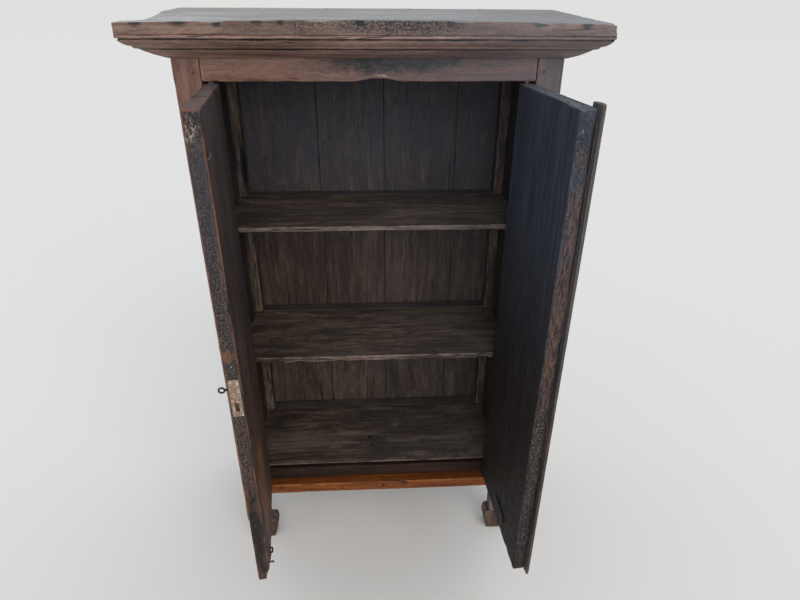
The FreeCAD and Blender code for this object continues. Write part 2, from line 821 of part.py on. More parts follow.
def carcass():
    """Every piece that stands still."""
    parts = {"front_post_right": front_post(), "rear_post_right": rear_post()}
    parts["front_post_left"] = mirrored(parts["front_post_right"])
    parts["rear_post_left"] = mirrored(parts["rear_post_right"])
    parts.update(feet())
    parts["top_rail"] = top_rail()
    parts["bottom_rail"] = bottom_rail()
    parts["sill_stop"] = sill_stop()
    bottom = side_rail(bottom_rail_bottom, bottom_rail_bottom + side_bottom_rail_height)
    top = side_rail(soffit_height - side_top_rail_height, top_bottom_rear)
    parts.update({"side_bottom_rail_right": bottom, "side_bottom_rail_left": mirrored(bottom)})
    parts.update({"side_top_rail_right": top, "side_top_rail_left": mirrored(top)})
    for place, plank in zip(("front", "rear"), side_planks()):
        parts["side_plank_right_" + place] = plank
        parts["side_plank_left_" + place] = mirrored(plank)
    parts["floor_board"] = floor_board()
    parts["middle_shelf"] = middle_shelf()
    parts["upper_shelf_front"], parts["upper_shelf_rear"] = upper_shelf()
    parts["floor_cleats"] = cleats(floor_top - floor_thickness)
    parts["middle_shelf_cleats"] = cleats(middle_shelf_top - middle_shelf_thickness)
    parts["upper_shelf_cleats"] = cleats(upper_shelf_top - upper_shelf_thickness)
    parts.update(rear_rails())
    for count, board in enumerate(back_boards(), start=1):
        parts["back_board_%d" % count] = board
    for place, board in zip(("front", "middle", "rear"), top_boards()):
        parts["top_board_" + place] = board
    parts["cornice_front"], parts["cornice_right"] = cornice()
    parts["cornice_left"] = mirrored(parts["cornice_right"])
    add_fastenings(parts)
    return parts


def add_fastenings(parts):
    """Pegs and nails, each in a hole through the pieces that it joins."""
    posts = [name for name in parts if "_post_" in name]
    side_rails = [name for name in parts if name.startswith("side_") and "_rail_" in name]
    pegs = Part.makeCompound(front_pegs() + side_pegs())
    drill(parts, posts + side_rails + ["top_rail", "bottom_rail"], pegs)
    parts["frame_pegs"] = pegs
    nails = Part.makeCompound(rail_nails() + back_nails() + top_nails())
    nailed = [name for name in parts if name.startswith(("back_board", "top_board"))]
    nailed += ["bottom_rail", "top_rail"] + list(rear_rail_spans())
    drill(parts, nailed, nails)
    parts["carcass_nails"] = nails


def left_leaf():
    """The left leaf, closed, with its lock, key and iron bits."""
    hinge_board, free_board = (mirrored(board) for board in leaf_boards())
    case, plate, bolt = lock()
    irons = left_leaf_irons()
    keyhole_ends = key_axis_point(-leaf_proud - overrun), key_axis_point(pintle_y)
    keyhole = rod(key_radius + key_clearance, *keyhole_ends)
    for cutter in (bolt_box(lock_clearance), keyhole, irons, bounding_block(case), bounding_block(plate)):
        free_board = free_board.cut(cutter)
    upper, lower = pintle_rods()
    return {
        "left_door_hinge_board": hinge_board,
        "left_door_lock_board": free_board,
        "left_door_pintles": Part.makeCompound([mirrored(upper), mirrored(lower)]),
        "left_door_dowels": mirrored(leaf_dowels()),
        "left_door_irons": irons,
        "lock_case": case,
        "lock_plate": plate,
        "lock_bolt": bolt,
        "key": key(),
    }


def right_leaf():
    """The right leaf, closed, with its astragal and cleat."""
    hinge_board, free_board = leaf_boards()
    return {
        "right_door_hinge_board": hinge_board,
        "right_door_free_board": free_board.cut(strike_mortise()),
        "right_door_pintles": Part.makeCompound(list(pintle_rods())),
        "right_door_dowels": leaf_dowels(),
        "right_door_astragal": astragal(),
        "right_door_cleat": door_cleat(),
    }


def swung(parts, x, angle):
    """A leaf's pieces turned about its pintles."""
    for shape in parts.values():
        shape.rotate(FreeCAD.Vector(x, pintle_y, 0), UP, angle)
    return parts


def main():
    """Build the cupboard with its leaves open, centre it and write one file per piece."""
    parts = carcass()
    parts.update(swung(left_leaf(), -pintle_x, -left_rest_angle))
    parts.update(swung(right_leaf(), pintle_x, right_rest_angle))
    bounds = Part.makeCompound(list(parts.values())).optimalBoundingBox(False, False)
    shift = FreeCAD.Vector(-(bounds.XMin + bounds.XMax) / 2, -(bounds.YMin + bounds.YMax) / 2, 0)
    os.makedirs("parts", exist_ok=True)
    for name, shape in parts.items():
        shape.translate(shift)
        shape.exportStep("parts/%s.step" % name)
    print("pieces", len(parts))
    print("front plane y %.4f" % shift.y)
    print("pintles x %.4f y %.4f" % (pintle_x, pintle_y + shift.y))
    print("overall box %.2f x %.2f x %.2f" % (bounds.XLength, bounds.YLength, bounds.ZMax))


main()
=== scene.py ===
"""Trastero: the weathered look of an old plank cupboard over its CAD frame, in metres."""
import json
import logging
import math
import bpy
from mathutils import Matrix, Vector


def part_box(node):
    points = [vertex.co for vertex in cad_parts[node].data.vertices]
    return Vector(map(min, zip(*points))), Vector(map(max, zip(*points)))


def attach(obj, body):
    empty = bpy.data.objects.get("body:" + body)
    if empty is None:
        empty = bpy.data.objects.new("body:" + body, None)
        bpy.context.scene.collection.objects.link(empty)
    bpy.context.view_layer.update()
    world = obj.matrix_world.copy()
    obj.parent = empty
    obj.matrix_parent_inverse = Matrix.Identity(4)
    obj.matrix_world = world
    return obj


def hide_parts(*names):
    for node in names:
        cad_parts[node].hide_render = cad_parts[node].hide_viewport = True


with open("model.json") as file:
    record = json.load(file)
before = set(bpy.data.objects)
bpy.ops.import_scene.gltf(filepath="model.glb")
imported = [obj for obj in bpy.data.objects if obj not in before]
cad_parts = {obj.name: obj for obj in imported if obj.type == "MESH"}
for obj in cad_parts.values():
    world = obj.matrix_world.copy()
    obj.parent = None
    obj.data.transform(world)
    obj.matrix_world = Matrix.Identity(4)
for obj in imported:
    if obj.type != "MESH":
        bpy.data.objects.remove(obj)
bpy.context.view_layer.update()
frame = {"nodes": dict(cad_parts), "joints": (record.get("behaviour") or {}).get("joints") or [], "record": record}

import zlib
from dataclasses import dataclass, field, replace
from enum import Enum
from typing import Any, Callable, Union

import bpy
import numpy as np
from mathutils import Matrix, Vector

LOG = logging.getLogger("trastero")
MM = 0.001
SEEDS = 9973
CELL_PRIMES = (73856093, 19349663, 83492791)
SEED_FACTOR = 265443
BOARD_STEP = 997.0
Socket = bpy.types.NodeSocket
Value = Union[bpy.types.NodeSocket, float, tuple]


def mm(*lengths: float) -> tuple:
    """Turn millimetres into metres."""
    return tuple(length * MM for length in lengths)


def srgb(red: int, green: int, blue: int) -> tuple[float, float, float, float]:
    """Turn a colour as seen on a screen into the linear numbers that a shader takes.

    Args:
        red, green, blue: Parts of the colour from 0 to 255.

    Returns:
        The linear colour with an alpha of 1.
    """
    parts = [part / 255 for part in (red, green, blue)]
    linear = [part / 12.92 if part <= 0.04045 else ((part + 0.055) / 1.055) ** 2.4
              for part in parts]
    return (*linear, 1.0)


def seed_of(name: str) -> int:
    """Give a piece its own repeatable seed."""
    return zlib.crc32(name.encode()) % SEEDS


# Repeatable noise on arrays of points


def lattice(cells: np.ndarray, seed: int) -> np.ndarray:
    """Give each whole-number cell a repeatable value.

    Args:
        cells: Whole-number places, one in each row.
        seed: Which noise to take.

    Returns:
        A value between 0 and 1 for each cell.
    """
    x, y, z = (cells[:, axis] * prime for axis, prime in enumerate(CELL_PRIMES))
    mixed = x ^ y ^ z ^ (seed * SEED_FACTOR)
    mixed = (mixed ^ (mixed >> 13)) * 1274126177
    return ((mixed ^ (mixed >> 16)) & 0xFFFF) / 0xFFFF


def value_noise(points: np.ndarray, seed: int) -> np.ndarray:
    """Blend the values of the cells round each point.

    Args:
        points: Places in cells, one in each row.
        seed: Which noise to take.

    Returns:
        A smooth value between 0 and 1 for each point.
    """
    base = np.floor(points).astype(np.int64)
    part = points - base
    part = part * part * (3 - 2 * part)
    total = np.zeros(len(points))
    for corner in range(8):
        offset = np.array([corner & 1, corner >> 1 & 1, corner >> 2 & 1])
        weight = np.prod(np.where(offset, part, 1 - part), axis=1)
        total += weight * lattice(base + offset, seed)
    return total


def fractal(points: np.ndarray, per_metre: tuple, seed: int, octaves: int = 3) -> np.ndarray:
    """Add octaves of smooth noise.

    Args:
        points: An array of places in metres.
        per_metre: How many lumps of noise fit a metre along each axis.
        seed: Which noise to take.
        octaves: How many finer layers to add.

    Returns:
        One value between 0 and 1 for each place.
    """
    scaled = points * np.array(per_metre)
    total = np.zeros(len(points))
    size = 0.0
    for octave in range(octaves):
        share = 0.5 ** octave
        total += share * value_noise(scaled * 2 ** octave + 17.3 * octave, seed + octave)
        size += share
    return total / size


# Timber geometry

# How many lumps of each noise fit a metre: across the grain, across the grain and along it
WORN_LUMPS = (9, 9, 5)
WANDER_LUMPS = (4, 4, 2.2)
RIPPLE_LUMPS = (150, 150, 9)
CHIP_LUMPS = (45, 45, 24)
BROKEN_LUMPS = (30, 30, 30)
DENT_LUMPS = (70, 70, 70)
IRON_LUMPS = (260, 260, 260)

# What is added to a piece's seed for each noise
WANDER_SEED, RIPPLE_SEED, CHIP_SEED, BROKEN_SEED, DENT_SEED = 11, 23, 37, 51, 61

SAME_POINT = 0.01 * MM
LEAST_STEP = 0.2 * MM
CRISP_SHARE = 0.12
SHALLOW_TURN = math.cos(math.radians(28))
CORNER_SHARES = (0, 0.2, 0.4, 0.6, 0.8, 1)
CAP_TURNS = (0, 30, 60, 90)


class Grain(Enum):
    """The axis of a piece's grain; the value gives its two cross axes and then the grain."""

    X = (1, 2, 0)
    Y = (2, 0, 1)
    Z = (0, 1, 2)

    @property
    def axis(self) -> int:
        """The number of the axis along the grain."""
        return self.value[2]


class Mark(Enum):
    """What a spot of wear shows, or where shade is painted; the value is its channel in the marks attribute."""

    RAW = 0
    DARK = 1
    PALE = 2
    CRACKED = 3


@dataclass(frozen=True)
class Wear:
    """How far the years have worn a piece of timber."""

    arris: float = 4 * MM
    wander: float = 0.7 * MM
    ripple: float = 0.4 * MM
    chip: float = 2.0 * MM
    along: float = 9 * MM
    across: float = 5 * MM
    bare: float = 0.8

    @classmethod
    def of(cls, bare: float = 0.8, **lengths: float) -> "Wear":
        """Give the wear with its lengths in millimetres."""
        return cls(bare=bare, **{name: length * MM for name, length in lengths.items()})


@dataclass(frozen=True)
class Dent:
    """A hollow worn or broken into a piece: a soft ellipsoid that pushes the surface one way."""

    centre: tuple
    reach: tuple
    push: tuple
    rough: float = 0.5


@dataclass(frozen=True)
class Spot:
    """A patch of bare, dark or pale wood; some dark patches are painted shade."""

    mark: Mark
    centre: tuple
    reach: tuple
    strength: float = 1.0


@dataclass(frozen=True)
class Bead:
    """A sunk line round a field on a flat face."""

    low: tuple
    high: tuple
    face: float
    width: float
    depth: float
    inward: float
    near: float = 4 * MM


def box_outline(low: tuple, high: tuple) -> list[tuple]:
    """The four corners of an upright rectangle, counter-clockwise."""
    return [(low[0], low[1]), (high[0], low[1]), (high[0], high[1]), (low[0], high[1])]


def arc_points(centre: tuple, radius: float, start: float, end: float, count: int) -> list[tuple]:
    """Points along an arc, angles in degrees, both ends included."""
    angles = np.radians(np.linspace(start, end, count))
    return [(centre[0] + radius * math.cos(a), centre[1] + radius * math.sin(a)) for a in angles]


def worn_corner(back: np.ndarray, here: np.ndarray, ahead: np.ndarray, arris: float,
                share_worn: float) -> list[tuple]:
    """Round one corner of an outline.

    Args:
        back: The corner before it.
        here: The corner.
        ahead: The corner after it.
        arris: How far a worn corner is rounded.
        share_worn: The share of that which this corner gets.

    Returns:
        Rows of a sharp point, a rounded point and a weight that is 1 at the corner.
    """
    back, ahead = back - here, ahead - here
    lengths = np.linalg.norm(back), np.linalg.norm(ahead)
    back, ahead = back / lengths[0], ahead / lengths[1]
    if np.dot(-back, ahead) > SHALLOW_TURN:
        return [(here, here, 0.0)]
    reach = min(arris * share_worn, 0.42 * min(lengths))
    start, end = here + back * reach, here + ahead * reach
    rows = []
    for share in CORNER_SHARES:
        if share < 0.5:
            sharp = start + (here - start) * share * 2
        else:
            sharp = here + (end - here) * (share * 2 - 1)
        rounded = start * (1 - share) ** 2 + here * 2 * share * (1 - share) + end * share ** 2
        rows.append((sharp, rounded, (1 - abs(share - 0.5) * 1.6) * share_worn))
    return rows


def worn_outline(corners: list, wear: Wear, breaks: tuple = (), crisp: tuple = ()) -> tuple:
    """Resample a closed outline, once sharp and once with its corners rounded.

    Args:
        corners: The outline's corners, counter-clockwise.
        wear: Gives the size of a worn arris and the spacing of the points.
        breaks: First coordinates at which the outline needs a point.
        crisp: Numbers of the corners that touch another board and stay sharp.

    Returns:
        The sharp points, the rounded points and a weight that is 1 at a corner.
    """
    corners = np.array([here for here, back in zip(corners, corners[-1:] + corners[:-1])
                        if math.dist(here, back) > SAME_POINT], float)
    count = len(corners)
    groups = [worn_corner(corners[index - 1], corners[index], corners[(index + 1) % count],
                          wear.arris, CRISP_SHARE if index in crisp else 1.0)
              for index in range(count)]
    rows = []
    for index, group in enumerate(groups):
        rows += group
        start, end = group[-1][0], groups[(index + 1) % count][0][0]
        length = np.linalg.norm(end - start)
        shares = list(np.linspace(0, 1, max(1, math.ceil(length / wear.across)) + 1)[1:-1])
        run = end[0] - start[0]
        if abs(run) > MM:
            shares += [(value - start[0]) / run for value in breaks]
        for share in sorted(shares):
            if LEAST_STEP < share * length < length - LEAST_STEP:
                point = start + (end - start) * share
                near = 0.2 - min(share, 1 - share) * length / (10 * MM)
                rows.append((point, point, max(0.0, near)))
    return tuple(np.array(column) for column in zip(*rows))


@dataclass
class Sweep:
    """A weathered length of timber: an outline run along the grain between two ends."""

    name: str
    outline: list
    ends: tuple
    grain: Grain
    wear: Wear = Wear()
    dents: tuple = ()
    spots: tuple = ()
    beads: tuple = ()
    breaks_across: tuple = ()
    breaks_along: tuple = ()
    crisp: tuple = ()
    bend: Callable | None = None
    cap_chips: float = 0.2
    end_grain: float = 0.4
    end_reach: float = 8 * MM

    def rings(self, length: float, room: float) -> list[tuple]:
        """List the rings of points from end to end.

        Args:
            length: The piece's length along the grain.
            room: The lesser width of its outline.

        Returns:
            Rows of the share of the length, an offset, an inset, and -1 or 1 for an end's cap.
        """
        arris = min(self.wear.arris * 0.6, room * 0.3)
        low = []
        for turn in CAP_TURNS:
            angle = math.radians(turn)
            offset, inset = arris * (1 - math.cos(angle)), arris * (1 - math.sin(angle))
            low.append((0.0, offset, inset, -1 if turn == 0 else 0))
        high = [(1.0, -offset, inset, -cap) for _, offset, inset, cap in reversed(low)]
        steps = max(2, math.ceil(length / self.wear.along))
        shares = {step / steps for step in range(1, steps)}
        base = self.ends[0] if isinstance(self.ends[0], float) else 0.0
        shares |= {(place - base) / length for place in self.breaks_along}
        margin = arris * 1.3
        shares = sorted(share for share in shares if margin < share * length < length - margin)
        return low + [(share, 0.0, 0.0, 0) for share in shares] + high

    def mesh(self) -> tuple:
        """Work out the piece.

        Returns:
            The vertices in the frame's axes, the faces and the four marks of each vertex.
        """
        seed = seed_of(self.name)
        sharp, rounded, weight = worn_outline(self.outline, self.wear, self.breaks_across,
                                              self.crisp)
        tangent = np.roll(rounded, -1, axis=0) - np.roll(rounded, 1, axis=0)
        tangent /= np.linalg.norm(tangent, axis=1)[:, None] + 1e-12
        normal = np.stack([tangent[:, 1], -tangent[:, 0]], axis=1)
        low_end, high_end = (end(*rounded.T) if callable(end) else np.full(len(rounded), end)
                             for end in self.ends)
        length = float(np.mean(high_end - low_end))
        rings = self.rings(length, float(min(np.ptp(rounded[:, 0]), np.ptp(rounded[:, 1]))))
        around = len(rounded)
        points, crisp, at_end = [], [], []
        for share, offset, inset, _ in rings:
            along = low_end * (1 - share) + high_end * share + offset
            points.append(np.column_stack([rounded - normal * inset, along]))
            crisp.append(sharp - normal * inset)
            at_end.append(math.exp(-min(share * length, (1 - share) * length) / self.end_reach))
        points, crisp = np.concatenate(points), np.concatenate(crisp)
        cap = np.repeat([ring[3] for ring in rings], around).astype(float)
        edge = np.maximum(np.tile(weight, len(rings)), np.repeat(at_end, around) * 0.8)
        side = (cap == 0)[:, None]
        out = np.column_stack([np.tile(normal, (len(rings), 1)) * side, cap])
        worn = np.clip(fractal(points, WORN_LUMPS, seed) * 1.6 - 0.15, 0.15, 1)[:, None]
        points[:, :2] += (crisp - points[:, :2]) * ((1 - worn) * side)
        points = self.weather(points, out, edge * np.where(cap == 0, 1.0, self.cap_chips), seed)
        points = points[:, np.argsort(self.grain.value)]
        for bead in self.beads:
            points = sink_bead(points, bead)
        marks = self.marked(points, edge, np.abs(cap), seed)
        for dent in self.dents:
            points = press(points, dent, seed)
        if self.bend is not None:
            points = self.bend(points)
        return points, ring_faces(len(rings), around), marks

    def weather(self, points: np.ndarray, out: np.ndarray, edge: np.ndarray,
                seed: int) -> np.ndarray:
        """Wear the surface inwards: a slow wander, ripples along the grain and chips at the edges.

        Args:
            points: The vertices, with the grain last.
            out: The direction out of the wood at each.
            edge: How near an arris each is, from 0 to 1.
            seed: The piece's seed.

        Returns:
            The worn vertices.
        """
        wear = self.wear
        wander = fractal(points, WANDER_LUMPS, seed + WANDER_SEED)
        ripple = fractal(points, RIPPLE_LUMPS, seed + RIPPLE_SEED)
        chips = np.clip(fractal(points, CHIP_LUMPS, seed + CHIP_SEED) - 0.5, 0, 1) * 2
        depth = wear.wander * wander + wear.ripple * ripple + wear.chip * edge * chips
        return points - out * depth[:, None]

    def marked(self, points: np.ndarray, edge: np.ndarray, cap: np.ndarray,
               seed: int) -> np.ndarray:
        """Work out how bare, dark, pale or cracked each point is.

        Args:
            points: The vertices in the frame's axes.
            edge: How near an arris each is, from 0 to 1.
            cap: 1 on the ends and 0 elsewhere.
            seed: The piece's seed.

        Returns:
            Four marks for each vertex.
        """
        marks = np.zeros((len(points), 4))
        broken = fractal(points, BROKEN_LUMPS, seed + BROKEN_SEED, 4)
        marks[:, Mark.RAW.value] = np.clip(edge * (broken * 2.4 - 0.45), 0, 1) * self.wear.bare
        for spot in self.spots:
            away = np.linalg.norm((points - np.array(spot.centre)) / np.array(spot.reach), axis=1)
            patch = np.clip((1.25 - away) * 1.6 - broken * 0.9, 0, 1) * spot.strength
            marks[:, spot.mark.value] = np.maximum(marks[:, spot.mark.value], patch)
        cracked = marks[:, Mark.CRACKED.value]
        marks[:, Mark.CRACKED.value] = np.maximum(cracked, cap * self.end_grain)
        return marks


def press(points: np.ndarray, dent: Dent, seed: int) -> np.ndarray:
    """Push a soft hollow into the points near a dent.

    Args:
        points: The vertices in the frame's axes.
        dent: The hollow.
        seed: The piece's seed.

    Returns:
        The moved vertices.
    """
    away = np.linalg.norm((points - np.array(dent.centre)) / np.array(dent.reach), axis=1)
    depth = np.clip(1 - away ** 2, 0, 1)
    uneven = fractal(points, DENT_LUMPS, seed + DENT_SEED)
    depth *= 1 - dent.rough + dent.rough * uneven * 1.6
    return points + np.array(dent.push) * depth[:, None]


def sink_bead(points: np.ndarray, bead: Bead) -> np.ndarray:
    """Sink a line round a field that lies in a plane of constant y.

    Args:
        points: The vertices in the frame's axes.
        bead: The line.

    Returns:
        The moved vertices.
    """
    past = [np.abs(points[:, axis] - (a + b) / 2) - (b - a) / 2
            for axis, a, b in zip((0, 2), bead.low, bead.high)]
    share = np.clip(1 - (np.abs(np.maximum(*past)) / (bead.width / 2)) ** 2, 0, 1)
    share *= np.abs(points[:, 1] - bead.face) < bead.near
    points[:, 1] += share * bead.depth * bead.inward
    return points


def ring_faces(rings: int, around: int) -> list:
    """Join rings of points with quads and close both ends.

    Args:
        rings: How many rings there are.
        around: How many points a ring has.

    Returns:
        The faces as tuples of point numbers.
    """
    faces = []
    for ring in range(rings - 1):
        base = ring * around
        for index in range(around):
            nxt = (index + 1) % around
            faces.append((base + index, base + nxt, base + around + nxt, base + around + index))
    faces.append(tuple(reversed(range(around))))
    faces.append(tuple(range((rings - 1) * around, rings * around)))
    return faces


# Materials


class Graph:
    """A short hand for building a material out of nodes."""

    def __init__(self, name: str) -> None:
        """Start a material with a plain surface.

        Args:
            name: The material's name.
        """
        self.material = bpy.data.materials.new(name)
        self.material.use_nodes = True
        self.tree = self.material.node_tree
        self.shader = self.tree.nodes["Principled BSDF"]

    def node(self, kind: str, output: int | str = 0, settings: dict | None = None,
             **inputs: Value) -> Socket:
        """Add a node and fill or link its inputs.

        Args:
            kind: The node's type.
            output: Which of its outputs to give.
            settings: Its own settings.
            **inputs: Values by the input's name, or by its number after an underscore.

        Returns:
            The output.
        """
        made = self.tree.nodes.new(kind)
        for key, value in (settings or {}).items():
            setattr(made, key, value)
        for key, value in inputs.items():
            socket = made.inputs[int(key[1:]) if key[0] == "_" else key.replace("_", " ")]
            self.put(value, socket)
        return made.outputs[output]

    def put(self, value: Value, socket: Socket) -> None:
        """Link a socket, or set its number or colour.

        Args:
            value: Where it comes from, or what it is.
            socket: The input that gets it.
        """
        if isinstance(value, Socket):
            self.tree.links.new(value, socket)
        else:
            socket.default_value = value

    def surface(self, name: str, value: Value) -> None:
        """Link or set one of the surface's inputs."""
        self.put(value, self.shader.inputs[name])

    def math(self, operation: str, *values: Value) -> Socket:
        """Work out one number from others."""
        named = {f"_{index}": value for index, value in enumerate(values)}
        return self.node("ShaderNodeMath", 0, {"operation": operation}, **named)

    def times(self, first: Value, second: Value) -> Socket:
        """Multiply two numbers."""
        return self.math("MULTIPLY", first, second)

    def plus(self, first: Value, second: Value) -> Socket:
        """Add two numbers."""
        return self.math("ADD", first, second)

    def minus(self, first: Value, second: Value) -> Socket:
        """Take the second number from the first."""
        return self.math("SUBTRACT", first, second)

    def shifted(self, vector: Value, shift: Value) -> Socket:
        """Move coordinates."""
        return self.node("ShaderNodeVectorMath", 0, {"operation": "ADD"}, _0=vector, _1=shift)

    def scaled(self, vector: Value, scale: tuple) -> Socket:
        """Stretch coordinates."""
        return self.node("ShaderNodeVectorMath", 0, {"operation": "MULTIPLY"}, _0=vector, _1=scale)

    def part(self, axis: int, vector: Value) -> Socket:
        """Take one of a vector's three numbers."""
        return self.node("ShaderNodeSeparateXYZ", axis, Vector=vector)

    def mix(self, factor: Value, first: Value, second: Value) -> Socket:
        """Mix two colours."""
        settings = {"data_type": "RGBA", "clamp_factor": True}
        return self.node("ShaderNodeMix", 2, settings, _0=factor, _6=first, _7=second)

    def spread(self, value: Value, low: float, high: float, start: float = 0.0,
               end: float = 1.0) -> Socket:
        """Stretch a range of values to another range, smoothly and within its limits.

        Args:
            value: The value.
            low: What turns into the start.
            high: What turns into the end.
            start: The new range's start.
            end: The new range's end.

        Returns:
            The new value.
        """
        settings = {"interpolation_type": "SMOOTHSTEP", "clamp": True}
        return self.node("ShaderNodeMapRange", 0, settings, _0=value, _1=low, _2=high, _3=start,
                         _4=end)

    def ramp(self, factor: Value, *stops: tuple) -> Socket:
        """Colour a value.

        Args:
            factor: The value.
            *stops: Pairs of a place and a colour, in order.

        Returns:
            The colour.
        """
        socket = self.node("ShaderNodeValToRGB", Fac=factor)
        band = socket.node.color_ramp
        for place, colour in stops[1:-1]:
            band.elements.new(place).color = colour
        band.elements[0].position, band.elements[0].color = stops[0]
        band.elements[-1].position, band.elements[-1].color = stops[-1]
        return socket

    def noise(self, vector: Value, scale: float, detail: float = 4, rough: float = 0.55,
              twist: float = 0.0) -> Socket:
        """Make fractal noise."""
        return self.node("ShaderNodeTexNoise", 0, None, Vector=vector, Scale=scale, Detail=detail,
                         Roughness=rough, Distortion=twist)

    def cells(self, vector: Value, scale: float) -> Socket:
        """Give the distance to the nearest crack between cells."""
        return self.node("ShaderNodeTexVoronoi", 0, {"feature": "DISTANCE_TO_EDGE"}, Vector=vector,
                         Scale=scale, Randomness=0.6)

    def bump(self, height: Value, depth: float) -> None:
        """Raise the surface by a height map."""
        self.surface("Normal", self.node("ShaderNodeBump", Strength=1.0, Distance=depth,
                                         Height=height))


@dataclass
class Layers:
    """What the layers of one wood share: its coordinates, painted marks and noises."""

    graph: Graph
    grain: Grain
    place: Socket
    vector: Socket
    marks: Any = None
    cracked: Socket | None = None
    rings: Socket | None = None
    fibres: Socket | None = None
    blotches: Socket | None = None
    fleck: Socket | None = None
    inside: Socket | None = None

    def along(self, share: float) -> Socket:
        """The place, stretched along the grain."""
        scale = tuple(share if axis == self.grain.axis else 1.0 for axis in range(3))
        return self.graph.scaled(self.vector, scale)

    def noise(self, share: float, scale: float, *shape: float) -> Socket:
        """Noise that is stretched along the grain."""
        return self.graph.noise(self.along(share), scale, *shape)


@dataclass(frozen=True)
class WoodFinish:
    """The look of one kind of old wood; scales are in lumps to the metre."""

    name: str
    dark: tuple
    mid: tuple
    light: tuple
    raw: tuple = srgb(150, 98, 66)
    # Dark colour of grime, cracks and pits, and of the painted shade in dark marks.
    grime_and_painted_shade: tuple = srgb(20, 17, 16)
    pale: tuple = srgb(186, 172, 152)
    # Dust colour; its bluish tone is partly a painted sheen.
    dust_and_sheen: tuple = srgb(130, 134, 138)
    speck: tuple = srgb(122, 116, 112)
    patchy: float = 0.4
    gritty: float = 0.3
    rings: float = 75.0
    sway: float = 0.08
    sway_scale: float = 5.0
    blotch: float = 0.5
    crackle: float = 0.0
    crackle_scale: float = 130.0
    crackle_stretch: float = 0.5
    scratch: float = 0.2
    pits: float = 0.0
    dust_and_sheen_cover: float = 0.35
    # Painted glare: a bluish haze of light on the room side, stronger higher up.
    painted_glare: float = 0.0
    painted_glare_heights: tuple = (0.5, 1.25)
    painted_glare_colour: tuple = srgb(50, 56, 68)
    room_side: float = 0.0
    outer: tuple = ()
    fibre: float = 0.8
    gloss: float = 0.25
    # Painted cool light: a bluish tint that grows towards the right, also on the dust colour at the right.
    painted_cool_light: float = 0.0
    painted_cool_light_colour: tuple = srgb(84, 90, 100)
    cool_lit_dust_and_sheen: tuple = srgb(118, 128, 136)
    rough: float = 0.62
    depth: float = 1.1 * MM
    ring_stops: tuple = (0.34, 0.5, 0.66)
    fibre_scale: float = 420.0
    blotch_scale: float = 7.5
    fleck_scale: float = 230.0
    patch_scale: float = 30.0
    grit_scale: float = 250.0
    scrape_scale: float = 95.0
    speck_scale: float = 320.0
    check_scale: float = 170.0
    wobble_scale: float = 60.0
    wobble: float = 6 * MM
    board_shift: tuple = (3.7, 5.1, 2.3)

    def material(self, grain: Grain) -> bpy.types.Material:
        """Build the wood with its grain along an axis, or fetch it if it is built."""
        name = f"{self.name}_{grain.name.lower()}"
        return bpy.data.materials.get(name) or self.build(name, grain)

    def build(self, name: str, grain: Grain) -> bpy.types.Material:
        """Build the node tree, layer by layer from the wood out to the dust, its painted sheen and the painted
        light.

        Args:
            name: The material's name.
            grain: The axis that the grain runs along.

        Returns:
            The material.
        """
        wood = self.layers(Graph(name), grain)
        graph = wood.graph
        colour = self.stained(wood, self.timber(wood))
        cracks = self.cracks(wood)
        colour = graph.mix(cracks, colour, self.grime_and_painted_shade)
        colour, pits = self.pitted(wood, self.scratched(wood, colour))
        colour = self.painted(wood, colour)
        # Painted glare on the upper parts, where the finish asks for it.
        if self.painted_glare:
            colour = self.add_painted_glare(wood, colour)
        graph.surface("Base Color", self.add_dust_sheen_and_cool_light(wood, colour))
        rough = graph.spread(wood.fleck, 0.3, 0.7, self.rough - 0.12, self.rough + 0.16)
        graph.surface("Roughness", rough)
        graph.surface("Specular IOR Level", self.gloss)
        height = graph.plus(graph.times(wood.rings, 0.9), graph.times(wood.fibres, 0.35))
        height = graph.minus(height, graph.times(cracks, 0.8))
        height = graph.minus(height, graph.times(pits, 0.8))
        graph.bump(height, self.depth)
        return graph.material

    def layers(self, graph: Graph, grain: Grain) -> Layers:
        """Make the coordinates, which differ from board to board, the marks and the noises.

        Args:
            graph: The material under construction.
            grain: The axis that the grain runs along.

        Returns:
            What the layers share.
        """
        place = graph.node("ShaderNodeTexCoord", "Object")
        board = graph.node("ShaderNodeAttribute", "Fac", {"attribute_name": "board"})
        moved = {axis: graph.times(board, share) for axis, share in zip("XYZ", self.board_shift)}
        shift = graph.node("ShaderNodeCombineXYZ", **moved)
        wood = Layers(graph, grain, place, graph.shifted(place, shift))
        marks = graph.node("ShaderNodeAttribute", "Color", {"attribute_name": "marks"})
        wood.cracked = marks.node.outputs["Alpha"]
        wood.marks = graph.node("ShaderNodeSeparateColor", 0, Color=marks).node.outputs
        sway = graph.node("ShaderNodeTexNoise", 1, None, Vector=wood.along(0.3),
                          Scale=self.sway_scale, Detail=2)
        wood.vector = graph.shifted(wood.vector, graph.scaled(sway, (self.sway,) * 3))
        wood.rings = wood.noise(0.05, self.rings, 8, 0.68, 0.3)
        wood.fibres = wood.noise(0.09, self.fibre_scale, 4, 0.65)
        wood.blotches = wood.noise(0.45, self.blotch_scale, 6, 0.62, 0.4)
        wood.fleck = wood.noise(0.3, self.fleck_scale, 5, 0.72)
        return wood

    def timber(self, wood: Layers) -> Socket:
        """Colour the rings, on a leaf's two sides in their own colours, and the fibres.

        Args:
            wood: What the layers share.

        Returns:
            The colour.
        """
        graph = wood.graph
        tones = self.dark, self.mid, self.light
        colour = graph.ramp(wood.rings, *zip(self.ring_stops, tones))
        facing = graph.part(1, graph.node("ShaderNodeTexCoord", "Normal"))
        wood.inside = graph.spread(graph.times(facing, self.room_side), -0.6, -0.1)
        if self.outer:
            outside = graph.ramp(wood.rings, *zip(self.ring_stops, self.outer))
            colour = graph.mix(wood.inside, outside, colour)
        return graph.mix(graph.spread(wood.fibres, 0.47, 0.62, 0, self.fibre), colour, self.dark)

